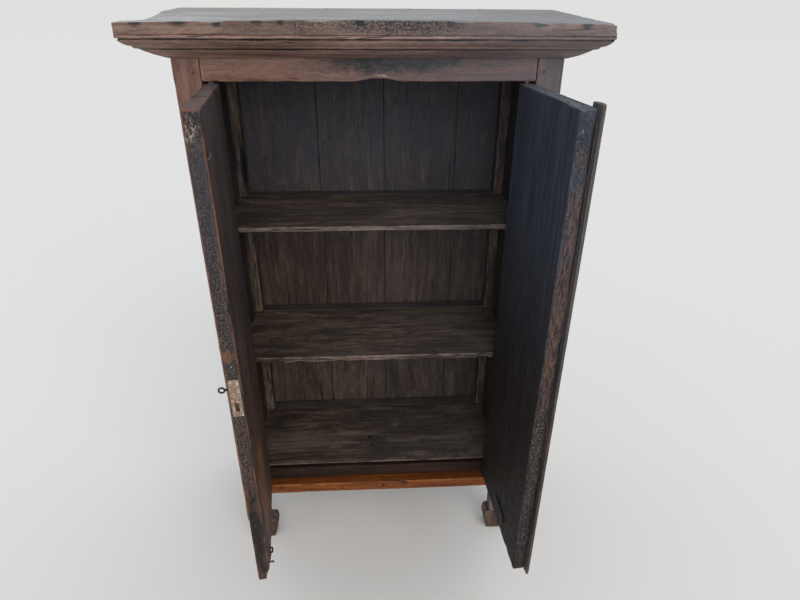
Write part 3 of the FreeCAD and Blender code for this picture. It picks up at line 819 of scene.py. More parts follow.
    def stained(self, wood: Layers, colour: Socket) -> Socket:
        """Add blotches, patches and grit, each dark in some places and light in others.

        Args:
            wood: What the layers share.
            colour: The colour of the timber.

        Returns:
            The new colour.
        """
        graph = wood.graph
        stain = graph.spread(wood.blotches, 0.44, 0.6, 0, self.blotch)
        colour = graph.mix(stain, colour, graph.mix(0.5, self.dark, self.grime_and_painted_shade))
        faded = graph.spread(wood.blotches, 0.46, 0.34, 0, self.blotch * 0.7)
        colour = graph.mix(faded, colour, self.light)
        patch = wood.noise(0.35, self.patch_scale, 6, 0.68, 0.5)
        colour = graph.mix(graph.spread(patch, 0.52, 0.64, 0, self.patchy), colour, self.dark)
        pale = graph.spread(patch, 0.46, 0.34, 0, self.patchy * 0.8)
        colour = graph.mix(pale, colour, self.light)
        grit = wood.noise(0.5, self.grit_scale, 6, 0.8)
        colour = graph.mix(graph.spread(grit, 0.52, 0.64, 0, self.gritty), colour, self.grime_and_painted_shade)
        pale = graph.spread(grit, 0.47, 0.36, 0, self.gritty * 0.8)
        return graph.mix(pale, colour, self.light)

    def cracks(self, wood: Layers) -> Socket:
        """Make checks along the grain, and the crackle of a dried finish where there is one.

        Args:
            wood: What the layers share.

        Returns:
            How cracked each place is.
        """
        graph = wood.graph
        checks = graph.spread(wood.noise(0.02, self.check_scale, 3, 0.55), 0.36, 0.3, 0, 0.85)
        if self.crackle == 0:
            return checks
        wobble = wood.noise(1.0, self.wobble_scale, 2)
        stretched = wood.along(self.crackle_stretch)
        shift = graph.node("ShaderNodeCombineXYZ", X=wobble, Y=wobble, Z=wobble)
        bent = graph.shifted(stretched, graph.scaled(shift, (self.wobble,) * 3))
        lines = graph.spread(graph.cells(bent, self.crackle_scale), 0.16, 0.02)
        where = graph.spread(wood.noise(0.6, 30, 4, 0.65), 0.42, 0.6)
        where = graph.math("MAXIMUM", graph.times(where, self.crackle), wood.cracked)
        crackle = graph.times(lines, graph.times(where, 0.9))
        return graph.math("MAXIMUM", checks, crackle)

    def scratched(self, wood: Layers, colour: Socket) -> Socket:
        """Rub long pale scratches through.

        Args:
            wood: What the layers share.
            colour: The colour so far.

        Returns:
            The new colour.
        """
        graph = wood.graph
        scraped = wood.noise(0.11, self.scrape_scale, 6, 0.72, 0.9)
        scratch = graph.spread(scraped, 0.56, 0.68, 0, self.scratch)
        return graph.mix(scratch, colour, graph.mix(0.5, self.light, self.pale))

    def pitted(self, wood: Layers, colour: Socket) -> tuple[Socket, Socket]:
        """Pit and speckle the surface, most where it is cracked.

        Args:
            wood: What the layers share.
            colour: The colour so far.

        Returns:
            The new colour and the pits.
        """
        graph = wood.graph
        amount = graph.math("MAXIMUM", self.pits, wood.cracked)
        speck = wood.noise(0.8, self.speck_scale, 5, 0.9)
        pits = graph.times(graph.spread(speck, 0.51, 0.57), amount)
        colour = graph.mix(pits, colour, self.grime_and_painted_shade)
        specks = graph.times(graph.spread(speck, 0.49, 0.42), graph.times(amount, 0.65))
        return graph.mix(specks, colour, self.speck), pits

    def painted(self, wood: Layers, colour: Socket) -> Socket:
        """Show the bare, pale and dark marks that the piece carries; some dark marks are painted shade.

        Args:
            wood: What the layers share.
            colour: The colour so far.

        Returns:
            The new colour.
        """
        graph, marks = wood.graph, wood.marks
        uneven = graph.plus(graph.times(wood.fleck, 0.4), graph.times(wood.rings, 0.7))
        bare = graph.spread(graph.plus(marks[Mark.RAW.value], uneven), 0.85, 1.15)
        under = graph.mix(graph.spread(wood.fibres, 0.4, 0.6), self.raw, self.light)
        colour = graph.mix(bare, colour, under)
        pale = graph.plus(graph.times(marks[Mark.PALE.value], 0.34), wood.fleck)
        colour = graph.mix(graph.spread(pale, 0.76, 0.88), colour, self.pale)
        # Dark marks: stains, and painted shade in recesses such as the cornice groove.
        dark = graph.plus(marks[Mark.DARK.value], graph.times(wood.fleck, 0.6))
        return graph.mix(graph.spread(dark, 0.55, 1.05), colour, self.grime_and_painted_shade)

    def add_painted_glare(self, wood: Layers, colour: Socket) -> Socket:
        """Paint a bluish glare on the side to the room, more with the height.

        Args:
            wood: What the layers share.
            colour: The colour so far.

        Returns:
            The new colour.
        """
        graph = wood.graph
        rise = graph.spread(graph.part(2, wood.place), *self.painted_glare_heights)
        cover = graph.times(rise, graph.spread(wood.rings, 0.85, 0.1))
        cover = graph.times(cover, graph.spread(wood.cracked, 0.0, 1.0, 1.0, 0.35))
        cover = graph.times(cover, wood.inside)
        return graph.mix(graph.times(cover, self.painted_glare), colour, self.painted_glare_colour)

    def add_dust_sheen_and_cool_light(self, wood: Layers, colour: Socket) -> Socket:
        """Paint cool light towards the right, and settle dust on what faces up, its bluish colour partly a painted
        sheen.

        Args:
            wood: What the layers share.
            colour: The colour so far.

        Returns:
            The new colour.
        """
        graph = wood.graph
        rightwards = graph.spread(graph.part(0, wood.place), -0.25, 0.45)
        # Painted cool light, bluer towards the right.
        if self.painted_cool_light:
            cover = graph.times(rightwards, graph.spread(wood.rings, 0.75, 0.25, 0.6, 1.0))
            colour = graph.mix(graph.times(cover, self.painted_cool_light), colour, self.painted_cool_light_colour)
        # Dust, with a painted bluish sheen in its colour, bluer towards the right under the painted cool light.
        dust_and_sheen = graph.mix(rightwards, self.dust_and_sheen, self.cool_lit_dust_and_sheen)
        dust_and_sheen = graph.mix(graph.spread(wood.rings, 0.42, 0.62, 0.0, 0.45), dust_and_sheen, self.mid)
        up = graph.part(2, graph.node("ShaderNodeNewGeometry", "Normal"))
        cover = graph.times(graph.spread(up, 0.55, 0.97),
                            graph.spread(wood.fleck, 0.3, 0.65, 0.35, 1.0))
        cover = graph.times(cover, graph.spread(wood.blotches, 0.3, 0.7, 1.0, 0.5))
        return graph.mix(graph.times(cover, self.dust_and_sheen_cover), colour, dust_and_sheen)


@dataclass(frozen=True)
class IronFinish:
    """Old wrought iron: dark scale, rust and worn bright spots."""

    name: str
    scale: tuple = srgb(34, 31, 30)
    rust: tuple = srgb(92, 52, 32)
    bright: tuple = srgb(128, 124, 118)
    orange: tuple = srgb(134, 78, 44)
    rusty: float = 0.6
    shine: float = 0.25
    lump_scale: float = 90.0
    grit_scale: float = 600.0
    gleam_scale: float = 140.0
    depth: float = 0.6 * MM

    def material(self) -> bpy.types.Material:
        """Build the iron, or fetch it if it is built."""
        return bpy.data.materials.get(self.name) or self.build()

    def build(self) -> bpy.types.Material:
        """Build the node tree: lumps, rust and worn bright spots.

        Returns:
            The material.
        """
        graph = Graph(self.name)
        place = graph.node("ShaderNodeTexCoord", "Object")
        lumps = graph.noise(place, self.lump_scale, 5, 0.65, 0.5)
        grit = graph.noise(place, self.grit_scale, 3, 0.7)
        uneven = graph.plus(lumps, graph.times(grit, 0.3))
        rust = graph.spread(uneven, 0.55, 0.72, 0, self.rusty)
        colour = graph.mix(rust, self.scale, graph.mix(grit, self.rust, self.orange))
        gleam = graph.spread(graph.noise(place, self.gleam_scale, 4), 0.52, 0.66, 0, self.shine)
        graph.surface("Base Color", graph.mix(gleam, colour, self.bright))
        graph.surface("Metallic", graph.minus(0.75, graph.times(rust, 0.9)))
        graph.surface("Roughness", graph.spread(grit, 0.3, 0.7, 0.42, 0.8))
        graph.bump(graph.plus(lumps, graph.times(grit, 0.5)), self.depth)
        return graph.material


STAIN = WoodFinish("red_stain", srgb(90, 63, 54), srgb(120, 88, 77), srgb(140, 105, 91),
                   raw=srgb(150, 108, 86), blotch=0.3, scratch=0.1, rings=60, dust_and_sheen_cover=0.3,
                   patchy=0.12, gritty=0.25, painted_cool_light=0.75, fibre=0.5, gloss=0.4)
FASCIA = replace(STAIN, name="fascia_stain", crackle=0.3, crackle_scale=150, crackle_stretch=0.75,
                 dark=srgb(78, 55, 47), mid=srgb(124, 98, 87), light=srgb(152, 120, 104), dust_and_sheen_cover=1.0,
                 gritty=0.3, dust_and_sheen=srgb(178, 184, 188), cool_lit_dust_and_sheen=srgb(122, 132, 140), rough=0.5,
                 painted_cool_light=0.5)
MOULDING = replace(STAIN, name="moulding_stain", crackle=0.15, crackle_scale=110, blotch=0.35,
                   dust_and_sheen_cover=0.1, dark=srgb(92, 66, 56), mid=srgb(148, 116, 104),
                   light=srgb(176, 140, 124), painted_cool_light=0.6)
DARK = WoodFinish("blackened", srgb(36, 28, 23), srgb(68, 54, 45), srgb(104, 85, 72),
                  raw=srgb(120, 84, 58), pale=srgb(132, 122, 108), scratch=0.35, dust_and_sheen_cover=0.3,
                  painted_glare=0.8, painted_cool_light=0.12)
BACKING = replace(DARK, name="back_boards", dark=srgb(50, 40, 35), mid=srgb(80, 64, 56),
                  light=srgb(108, 92, 82), scratch=0.3, sway=0.12, patchy=0.4, blotch=0.35,
                  painted_glare=1.0, painted_glare_heights=(0.8, 1.2), painted_glare_colour=srgb(68, 76, 90), painted_cool_light=0.25,
                  fibre=0.6, room_side=-1.0)
SHELF = replace(DARK, name="shelf_boards", dark=srgb(36, 28, 22), mid=srgb(88, 71, 60),
                light=srgb(140, 119, 105), scratch=0.6, dust_and_sheen_cover=0.3, dust_and_sheen=srgb(108, 102, 96),
                cool_lit_dust_and_sheen=srgb(116, 114, 110), raw=srgb(100, 92, 84), painted_glare=0.3, sway=0.12,
                patchy=0.6, painted_cool_light=0.2)
LEFT_LEAF = WoodFinish("left_leaf_boards", srgb(38, 28, 23), srgb(78, 57, 46), srgb(116, 84, 64),
                       raw=srgb(132, 80, 48), scratch=0.25, pits=0.15, dust_and_sheen_cover=0.6,
                       dust_and_sheen=srgb(112, 114, 116), cool_lit_dust_and_sheen=srgb(112, 114, 116), rings=55, painted_glare=0.95,
                       painted_glare_colour=srgb(62, 67, 78), speck=srgb(126, 120, 116), room_side=1.0,
                       outer=(srgb(66, 45, 38), srgb(98, 70, 60), srgb(122, 92, 78)))
RIGHT_LEAF = replace(LEFT_LEAF, name="right_leaf_boards", dark=srgb(16, 12, 12),
                     mid=srgb(26, 21, 20), light=srgb(46, 38, 36), painted_glare_heights=(0.65, 1.2),
                     painted_glare_colour=srgb(76, 84, 102), painted_glare=1.0, dust_and_sheen=srgb(132, 148, 160),
                     cool_lit_dust_and_sheen=srgb(132, 148, 160), raw=srgb(110, 84, 72), speck=srgb(136, 130, 128),
                     fibre=0.5, scratch=0.15)
ASTRAGAL = replace(STAIN, name="astragal_stain", dark=srgb(40, 32, 30), mid=srgb(76, 62, 57),
                   light=srgb(108, 88, 77), raw=srgb(126, 96, 78), blotch=0.5, pits=0.3, painted_cool_light=0.0,
                   painted_glare=0.7, painted_glare_heights=(0.6, 1.3), painted_glare_colour=srgb(92, 98, 106))
PINE = WoodFinish("bare_pine", srgb(84, 38, 8), srgb(118, 62, 18), srgb(146, 82, 30),
                  raw=srgb(146, 92, 48), grime_and_painted_shade=srgb(44, 26, 16), rings=48, blotch=0.15, scratch=0.1,
                  dust_and_sheen_cover=0.0, patchy=0.25, gritty=0.15)
SILL = replace(PINE, name="sill_wood", dark=srgb(22, 12, 8), mid=srgb(38, 22, 13),
               light=srgb(62, 37, 22), blotch=0.5, raw=srgb(80, 54, 36), dust_and_sheen=srgb(60, 46, 34))
FOOT = replace(STAIN, name="foot_wood", dark=srgb(38, 27, 20), mid=srgb(66, 48, 37),
               light=srgb(102, 80, 62), raw=srgb(128, 98, 74), patchy=0.5, painted_cool_light=0.0)
IRON = IronFinish("old_iron", rusty=0.35)
BRIGHT_IRON = IronFinish("bright_iron", scale=srgb(84, 84, 84), rusty=0.2, shine=0.9)
LOCK = IronFinish("corroded_lock", scale=srgb(142, 134, 122), rust=srgb(122, 84, 58),
                  bright=srgb(206, 200, 186), rusty=0.85, shine=0.6)


# Placing pieces on the frame


@dataclass(frozen=True)
class Hanger:
    """Puts a made piece on a body, in place of CAD nodes."""

    body: str
    closed: Matrix = field(default_factory=Matrix)

    def box(self, node: str) -> tuple[Vector, Vector]:
        """A node's lowest and highest corners, with its body where the pieces are made."""
        spots = [self.closed @ vertex.co for vertex in frame["nodes"][node].data.vertices]
        return Vector(map(min, *spots)), Vector(map(max, *spots))

    def hang(self, sweep: Sweep, finish: WoodFinish, *nodes: str) -> bpy.types.Object:
        """Make a sweep's object, give it its wood, and let it stand for CAD nodes.

        Args:
            sweep: The piece to make.
            finish: Its kind of wood.
            nodes: The CAD nodes that it stands for.

        Returns:
            The new object.
        """
        points, faces, marks = sweep.mesh()
        mesh = bpy.data.meshes.new(sweep.name)
        mesh.from_pydata(points.tolist(), [], faces)
        mesh.validate()
        mesh.shade_smooth()
        paint = mesh.attributes.new("marks", "FLOAT_COLOR", "POINT")
        paint.data.foreach_set("color", marks.ravel())
        number = mesh.attributes.new("board", "FLOAT", "POINT")
        number.data.foreach_set("value", np.full(len(points), seed_of(sweep.name) / BOARD_STEP))
        mesh.materials.append(finish.material(sweep.grain))
        return self.place(mesh, nodes)

    def place(self, mesh: bpy.types.Mesh, nodes: tuple) -> bpy.types.Object:
        """Put a mesh on the body in its rest position.

        Args:
            mesh: The mesh, made in the closed position.
            nodes: The CAD nodes that it stands for.

        Returns:
            The new object.
        """
        piece = bpy.data.objects.new(mesh.name, mesh)
        bpy.context.scene.collection.objects.link(piece)
        piece.matrix_world = self.closed.inverted()
        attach(piece, self.body)
        if nodes:
            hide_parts(*nodes)
            slot_of(nodes[0])
        return piece


def slot_of(node: str) -> str:
    """The record's material slot of a node."""
    return next(part["material_slot"] for part in frame["record"]["subparts"]
                if part["node"] == node)


def dress(node: str, material: bpy.types.Material) -> None:
    """Give a CAD node that keeps its shape a material.

    Args:
        node: The node's name.
        material: Its material.
    """
    mesh = frame["nodes"][node].data
    mesh.materials.clear()
    mesh.materials.append(material)


def board(name: str, low: Vector, high: Vector, grain: Grain, wear: Wear = Wear(),
          **more: Any) -> Sweep:
    """Describe a plain rectangular board between two corners.

    Args:
        name: The piece's name.
        low: Its lowest corner.
        high: Its highest corner.
        grain: The axis of its grain.
        wear: How far it is worn.
        **more: The sweep's other fields.

    Returns:
        The board.
    """
    u, v, w = grain.value
    outline = box_outline((low[u], low[v]), (high[u], high[v]))
    return Sweep(name, outline, (low[w], high[w]), grain, wear, **more)


def leaf_hanger(body: str, joint_name: str) -> Hanger:
    """Give the hanger of a leaf, whose pieces are made with the leaf closed.

    Args:
        body: The leaf's body.
        joint_name: The hinge that it turns on.

    Returns:
        The hanger.
    """
    joint = next(one for one in frame["joints"] if one["name"] == joint_name)
    pivot = Matrix.Translation(joint["pos_m"])
    turn = Matrix.Rotation(math.radians(joint["range_deg"][0]), 4, Vector(joint["axis"]))
    return Hanger(body, pivot @ turn @ pivot.inverted())


@dataclass(frozen=True)
class Wire:
    """A forged wire: a round bar bent through points, uneven along its length."""

    name: str
    path: tuple
    radius: float
    around: int = 10
    steps: int = 7

    def line(self) -> list[Vector]:
        """Draw a smooth line through the path's points.

        Returns:
            Points along the line.
        """
        stops = [Vector(point) for point in self.path]
        line = []
        for index in range(len(stops) - 1):
            a, b = stops[max(index - 1, 0)], stops[index]
            c, d = stops[index + 1], stops[min(index + 2, len(stops) - 1)]
            for step in range(self.steps):
                t = step / self.steps
                line.append(0.5 * ((2 * b) + (c - a) * t + (2 * a - 5 * b + 4 * c - d) * t ** 2
                                   + (3 * b - a - 3 * c + d) * t ** 3))
        return [*line, stops[-1]]

    def mesh(self) -> bpy.types.Mesh:
        """Sweep the bar along its line.

        Returns:
            The mesh.
        """
        line = self.line()
        uneven = fractal(np.array(line), IRON_LUMPS, seed_of(self.name), 2)
        points = []
        side = Vector((1, 0, 0))
        for index, place in enumerate(line):
            ahead = line[min(index + 1, len(line) - 1)] - line[max(index - 1, 0)]
            ahead.normalize()
            if side.cross(ahead).length > 0.1:
                side = (side - ahead * side.dot(ahead)).normalized()
            else:
                side = ahead.orthogonal().normalized()
            other = ahead.cross(side)
            tip = 0.35 if index in (0, len(line) - 1) else 1.0
            radius = self.radius * tip * (0.75 + 0.5 * uneven[index])
            for turn in range(self.around):
                angle = 2 * math.pi * turn / self.around
                points.append(place + (side * math.cos(angle) + other * math.sin(angle)) * radius)
        mesh = bpy.data.meshes.new(self.name)
        mesh.from_pydata([tuple(point) for point in points], [],
                         ring_faces(len(line), self.around))
        mesh.shade_smooth()
        return mesh


@dataclass
class Top:
    """The rising top boards and the carved cornice under them."""

    bow: float = 6.0 * MM
    fillet: float = 6.5 * MM
    groove: float = 2.5 * MM
    ovolo_height: float = 11.5 * MM
    ovolo_reach: float = 15.0 * MM
    bead_height: float = 5.5 * MM
    bead_reach: float = 7.0 * MM
    cove_height: float = 15.0 * MM
    cove_reach: float = 27.0 * MM
    foot_fillet: float = 5.0 * MM
    step: float = 3.0 * MM
    sink: float = 1.6 * MM
    hanger: Hanger = Hanger("carcass")

    def __post_init__(self) -> None:
        """Take the main sizes from the CAD."""
        front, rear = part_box("top_board_front")[0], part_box("back_board_1")[1]
        self.front, self.rear, self.low = front.y, rear.y, front.z
        self.slope = (rear.z - front.z) / (rear.y - front.y)
        self.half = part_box("top_board_front")[1].x
        self.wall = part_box("front_post_left")[0].y
        self.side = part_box("front_post_right")[1].x
        self.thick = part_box("top_board_rear")[1].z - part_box("back_board_1")[1].z

    def soffit(self, y: float | np.ndarray) -> float | np.ndarray:
        """The height of the top boards' underside at a depth."""
        return self.low + (y - self.front) * self.slope

    def underside(self, _: np.ndarray, y: np.ndarray) -> np.ndarray:
        """The upper end of an upright board, under the sloping top."""
        return np.full(len(y), self.soffit(y))

    def left_mitre(self, y: np.ndarray, _: np.ndarray) -> np.ndarray:
        """Where the front cornice ends on the left."""
        return -self.side + (y - self.wall)

    def right_mitre(self, y: np.ndarray, _: np.ndarray) -> np.ndarray:
        """Where the front cornice ends on the right."""
        return self.side - (y - self.wall)

    def front_mitre(self, _: np.ndarray, x: np.ndarray) -> np.ndarray:
        """Where a side cornice ends in front."""
        return self.wall - (np.abs(x) - self.side)

    def bowed(self, points: np.ndarray) -> np.ndarray:
        """Lift the middle of the front edge, where the real top is less worn.

        Args:
            points: A board's vertices.

        Returns:
            The moved vertices.
        """
        across = 1 - np.clip(np.abs(points[:, 0]) / self.half, 0, 1) ** 2
        back = np.clip((points[:, 1] - self.front) / (self.rear - self.front), 0, 1)
        upper = np.clip((points[:, 2] - self.soffit(points[:, 1])) / self.thick, 0, 1)
        points[:, 2] += self.bow * across * (1 - back) ** 0.7 * upper
        return points

    def profile(self) -> list[tuple]:
        """Draw the cornice's outline.

        Returns:
            Pairs of the reach out from the wall and the height, from the lowest point outwards.
        """
        out = self.half - self.side
        lip = self.low - self.fillet
        nose = lip - self.groove
        shoulder = out - self.groove
        ovolo_end = (shoulder - self.ovolo_reach, nose - self.ovolo_height)
        ovolo = self.curve((shoulder, nose), ovolo_end, self.sink)
        step_x, step_z = ovolo_end[0] - self.step, ovolo_end[1]
        bead_end = (step_x - self.bead_reach, step_z - self.bead_height)
        bead = self.curve((step_x, step_z), bead_end, self.groove / 2)
        cove_start = (bead_end[0] - self.step, bead_end[1])
        cove_end = (cove_start[0] - self.cove_reach, cove_start[1] - self.cove_height)
        cove = self.curve(cove_start, cove_end, self.sink / 2)
        toe = (self.step / 2, cove_end[1] - self.foot_fillet)
        inner = out - self.groove * 2
        down = [(out, self.low), (out, lip), (inner, lip), (inner, nose), *ovolo, *bead, *cove, toe]
        return [(0.0, toe[1]), *reversed(down), (0.0, self.low)]

    @staticmethod
    def curve(start: tuple, end: tuple, bulge: float) -> list[tuple]:
        """Draw a shallow curve between two points that bulges down and outwards.

        Args:
            start: Its first point.
            end: Its last point.
            bulge: How far its middle stands off the straight line.

        Returns:
            The curve's points.
        """
        run, fall = end[0] - start[0], end[1] - start[1]
        length = math.hypot(run, fall)
        points = []
        for share in np.linspace(0, 1, 7):
            sag = bulge * 4 * share * (1 - share)
            points.append((start[0] + run * share - fall / length * sag,
                           start[1] + fall * share + run / length * sag))
        return points

    def build(self) -> None:
        """Make the three top boards and the three lengths of cornice."""
        wear = Wear.of(arris=3.5, wander=0.5, ripple=0.5, chip=3, along=6, across=4, bare=0.35)
        for place in ("front", "middle", "rear"):
            node = f"top_board_{place}"
            low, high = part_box(node)
            under = [(y, self.soffit(y)) for y in (low.y, high.y)]
            over = [(y, self.soffit(y) + self.thick) for y in (high.y, low.y)]
            sweep = Sweep(f"worn_{node}", under + over, (low.x, high.x), Grain.X, wear,
                          bend=self.bowed, crisp=(0, 1), dents=self.corner_wear(),
                          spots=self.edge_marks())
            self.hanger.hang(sweep, FASCIA, node)
        self.build_cornice()

    def corner_wear(self) -> tuple:
        """Round the right front corner, sink the left end and knock the front edge.

        Returns:
            The dents.
        """
        upper = self.low + self.thick
        back = self.front + 0.17
        corner = Dent((self.half, self.front, upper), mm(24, 24, 18), mm(-2.5, 2.5, -2))
        left_end = Dent((-self.half, back, self.soffit(back) + self.thick), mm(90, 140, 24),
                        mm(0, 0, -8), 0.1)
        knocks = (Dent((share * self.half, self.front, upper), mm(26, 14, 9), mm(0, 1.5, -2.2))
                  for share in (-0.62, -0.2, 0.37, 0.71))
        return corner, left_end, *knocks

    def edge_marks(self) -> tuple:
        """Crackle and stain the front edge.

        Returns:
            The spots.
        """
        upper = self.low + self.thick
        crackled = (Spot(Mark.CRACKED, (x, self.front, upper), mm(*reach), strength)
                    for x, reach, strength in ((55 * MM, (190, 30, 26), 1.0),
                                               (-0.1, (120, 30, 20), 0.5)))
        stains = (Spot(Mark.DARK, (x, self.front, upper), mm(reach, 20, 17), 0.68)
                  for x, reach in ((-0.44, 26), (-0.36, 34), (-0.29, 14), (-0.21, 22), (-0.17, 10),
                                   (-0.02, 20), (0.15, 16), (0.33, 30), (0.42, 22)))
        return *crackled, *stains

    def follow_soffit(self, points: np.ndarray) -> np.ndarray:
        """Carry the fascia of a side cornice up to the rising top boards.

        Args:
            points: The cornice's vertices.

        Returns:
            The moved vertices.
        """
        nose = self.low - self.fillet - self.groove
        share = np.clip((points[:, 2] - nose - self.groove) / (self.low - nose - self.groove), 0, 1)
        points[:, 2] += share * (self.soffit(points[:, 1]) - self.low)
        return points

    def groove_shade(self) -> tuple:
        """Paint shade into the groove under the fascia, all round, and under the bead.

        Returns:
            The spots.
        """
        height = self.low - self.fillet - self.groove / 2
        depth = self.wall - (self.half - self.side) + self.groove
        reach, all_along = 3.5 * MM, 2.0
        line = (self.low - self.fillet - self.groove - self.ovolo_height - self.bead_height
                - 0.5 * MM)
        inward = self.groove + self.ovolo_reach + self.bead_reach + self.step
        # Painted shade along the groove and under the bead.
        return (Spot(Mark.DARK, (0, depth + inward, line), (all_along, *mm(8, 4.5)), 0.85),
                Spot(Mark.DARK, (0, depth, height), (all_along, 7 * MM, reach), 0.8),
                *(Spot(Mark.DARK, (x, 0.2, height), (7 * MM, all_along, reach))
                  for x in (-self.half + self.groove, self.half - self.groove)))

    def build_cornice(self) -> None:
        """Run the cornice's outline along the front and back along both sides."""
        wear = Wear.of(arris=1.2, wander=0.4, ripple=0.35, chip=1.5, along=6, across=3, bare=0.3)
        outline = [(self.wall - reach, height) for reach, height in self.profile()]
        mitres = self.left_mitre, self.right_mitre
        front = Sweep("worn_cornice_front", outline[::-1], mitres, Grain.X, wear, crisp=(0, 1),
                      spots=self.groove_shade())
        self.hanger.hang(front, MOULDING, "cornice_front")
        for side, word in ((-1, "left"), (1, "right")):
            outline = [(height, side * (self.side + reach)) for reach, height in self.profile()]
            outline = outline if side < 0 else outline[::-1]
            top_corners = (len(outline) - 2, len(outline) - 1) if side < 0 else (0, 1)
            sweep = Sweep(f"worn_cornice_{word}", outline, (self.front_mitre, self.rear), Grain.Y,
                          wear, crisp=top_corners, bend=self.follow_soffit,
                          spots=self.groove_shade())
            self.hanger.hang(sweep, MOULDING, f"cornice_{word}")


@dataclass
class Carcass:
    """The posts, rails, planks, boards, shelves and feet."""

    top: Top
    hanger: Hanger = Hanger("carcass")
    post_wear: Wear = Wear.of(arris=6, wander=1.4, chip=2.5)
    plank_wear: Wear = Wear.of(arris=4, wander=1.4, ripple=0.6, along=12, across=6, bare=0.3)
    lap: float = 10 * MM
    slack: float = 0.2 * MM
    sole_taper: float = 12 * MM
    belly: float = 45 * MM
    shelf_wear: Wear = Wear.of(arris=5, wander=1.2, ripple=0.7, chip=3.5, across=5, bare=0.95)
    foot_wear: Wear = Wear.of(arris=6, wander=1.2, ripple=0.8, chip=4, along=4, across=4, bare=0.6)

    def build(self) -> None:
        """Make every board of the carcass."""
        self.build_posts()
        self.build_front_rails()
        self.build_planks()
        self.build_shelves()
        self.build_feet()
        self.dress_fastenings()

    def plain(self, node: str, grain: Grain, finish: WoodFinish, wear: Wear, **more: Any) -> None:
        """Make a board in a node's box, under the sloping top where it reaches it.

        Args:
            node: The CAD node that it stands for.
            grain: The axis of its grain.
            finish: Its kind of wood.
            wear: How far it is worn.
            **more: The sweep's other fields.
        """
        low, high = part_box(node)
        ends = None
        if grain is Grain.Z and high.z > self.top.low:
            ends = (low.z, self.top.underside)
        if grain is not Grain.Z:
            high = Vector((high.x, high.y, min(high.z, self.top.soffit(low.y))))
        sweep = board(f"worn_{node}", low, high, grain, wear, **more)
        self.hanger.hang(replace(sweep, ends=ends or sweep.ends), finish, node)

    def build_posts(self) -> None:
        """Make the four posts; the left rear one is split near the upper shelf."""
        low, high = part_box("rear_post_left")
        split = tuple(Vector((high.x, low.y, 1.10)))
        damage = {"dents": (Dent(split, mm(16, 14, 90), mm(-7, 3, 0)),),
                  "spots": (Spot(Mark.DARK, split, mm(14, 30, 95)),)}
        for place in ("left", "right"):
            self.plain(f"front_post_{place}", Grain.Z, STAIN, self.post_wear)
            self.plain(f"rear_post_{place}", Grain.Z, SHELF, self.post_wear,
                       **(damage if place == "left" else {}))

    def build_front_rails(self) -> None:
        """Make the frieze, the bare bottom rail and the stop behind it."""
        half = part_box("front_post_right")[0].x
        self.build_frieze(half)
        low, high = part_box("bottom_rail")
        span = (Vector((-half, low.y, low.z)), Vector((half, high.y, high.z)))
        stains = tuple(Spot(Mark.DARK, (x * MM, low.y, low.z + z * MM), mm(*reach), strength)
                       for x, z, reach, strength in (
                           (82, 28, (24, 20, 7), 0.8), (20, 20, (9, 9, 5), 0.7),
                           (-108, 14, (8, 9, 6), 0.7), (-268, 8, (8, 9, 5), 0.7),
                           (236, 30, (20, 20, 4), 0.5)))
        wear = Wear.of(arris=8, wander=1.6, along=6, across=4, chip=2, bare=0.8)
        rail = board("worn_bottom_rail", *span, Grain.X, wear, spots=stains)
        self.hanger.hang(rail, PINE, "bottom_rail")
        self.plain("sill_stop", Grain.X, SILL, replace(self.shelf_wear, bare=0.3))

    def build_frieze(self, half: float) -> None:
        """Make the frieze with its worn notch, pale smear, hole and darkened middle part.

        Args:
            half: Half of its length.
        """
        low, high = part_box("top_rail")
        span = (Vector((-half, low.y, low.z)), Vector((half, high.y, self.top.soffit(low.y))))
        notch = Dent((14 * MM, low.y + 10 * MM, low.z), mm(46, 40, 16), mm(0, 0, 6.5), 0.3)
        spots = tuple(Spot(mark, (x * MM, low.y, low.z + z * MM), mm(*reach), strength)
                      for mark, x, z, reach, strength in (
                          (Mark.PALE, 14, 10, (44, 20, 12), 0.8),
                          (Mark.DARK, 53, 21, (3, 6, 3), 1.0),
                          # A darker patch over the middle of the frieze.
                          (Mark.DARK, 60, 50, (320, 30, 60), 0.68)))
        wear = replace(self.post_wear, across=4 * MM, along=5 * MM)
        rail = board("worn_top_rail", *span, Grain.X, wear, dents=(notch,), spots=spots)
        self.hanger.hang(rail, STAIN, "top_rail")

    def build_planks(self) -> None:
        """Make the side planks, side rails, back boards and rear rails."""
        for side in ("left", "right"):
            for place in ("front", "rear"):
                self.plain(f"side_plank_{side}_{place}", Grain.Z, DARK, self.plank_wear)
            for place in ("top", "bottom"):
                self.plain(f"side_{place}_rail_{side}", Grain.Y, STAIN, self.post_wear)
        for number in range(1, 5):
            self.build_back_board(number)
        for place in ("lower", "middle", "upper", "top"):
            self.plain(f"{place}_rear_rail", Grain.X, DARK, replace(self.shelf_wear, bare=0.4))

    def build_back_board(self, number: int) -> None:
        """Make a back board, whose rear half laps behind the next.

        Args:
            number: Its number, from the left.
        """
        low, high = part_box(f"back_board_{number}")
        middle = (low.y + high.y) / 2
        face_end = high.x - (self.lap if number < 4 else 0)
        rebate = low.x + (self.lap if number > 1 else 0)
        outline = [(low.x, low.y), (face_end, low.y), (face_end, middle + self.slack),
                   (high.x, middle + self.slack), (high.x, high.y), (rebate, high.y),
                   (rebate, middle - self.slack), (low.x, middle - self.slack)]
        wear = replace(self.plank_wear, arris=1.5 * MM, wander=0.7 * MM, chip=1.2 * MM)
        sweep = Sweep(f"worn_back_board_{number}", outline, (low.z, self.top.underside), Grain.Z,
                      wear, spots=self.scrapes(low.y))
        self.hanger.hang(sweep, BACKING, f"back_board_{number}")

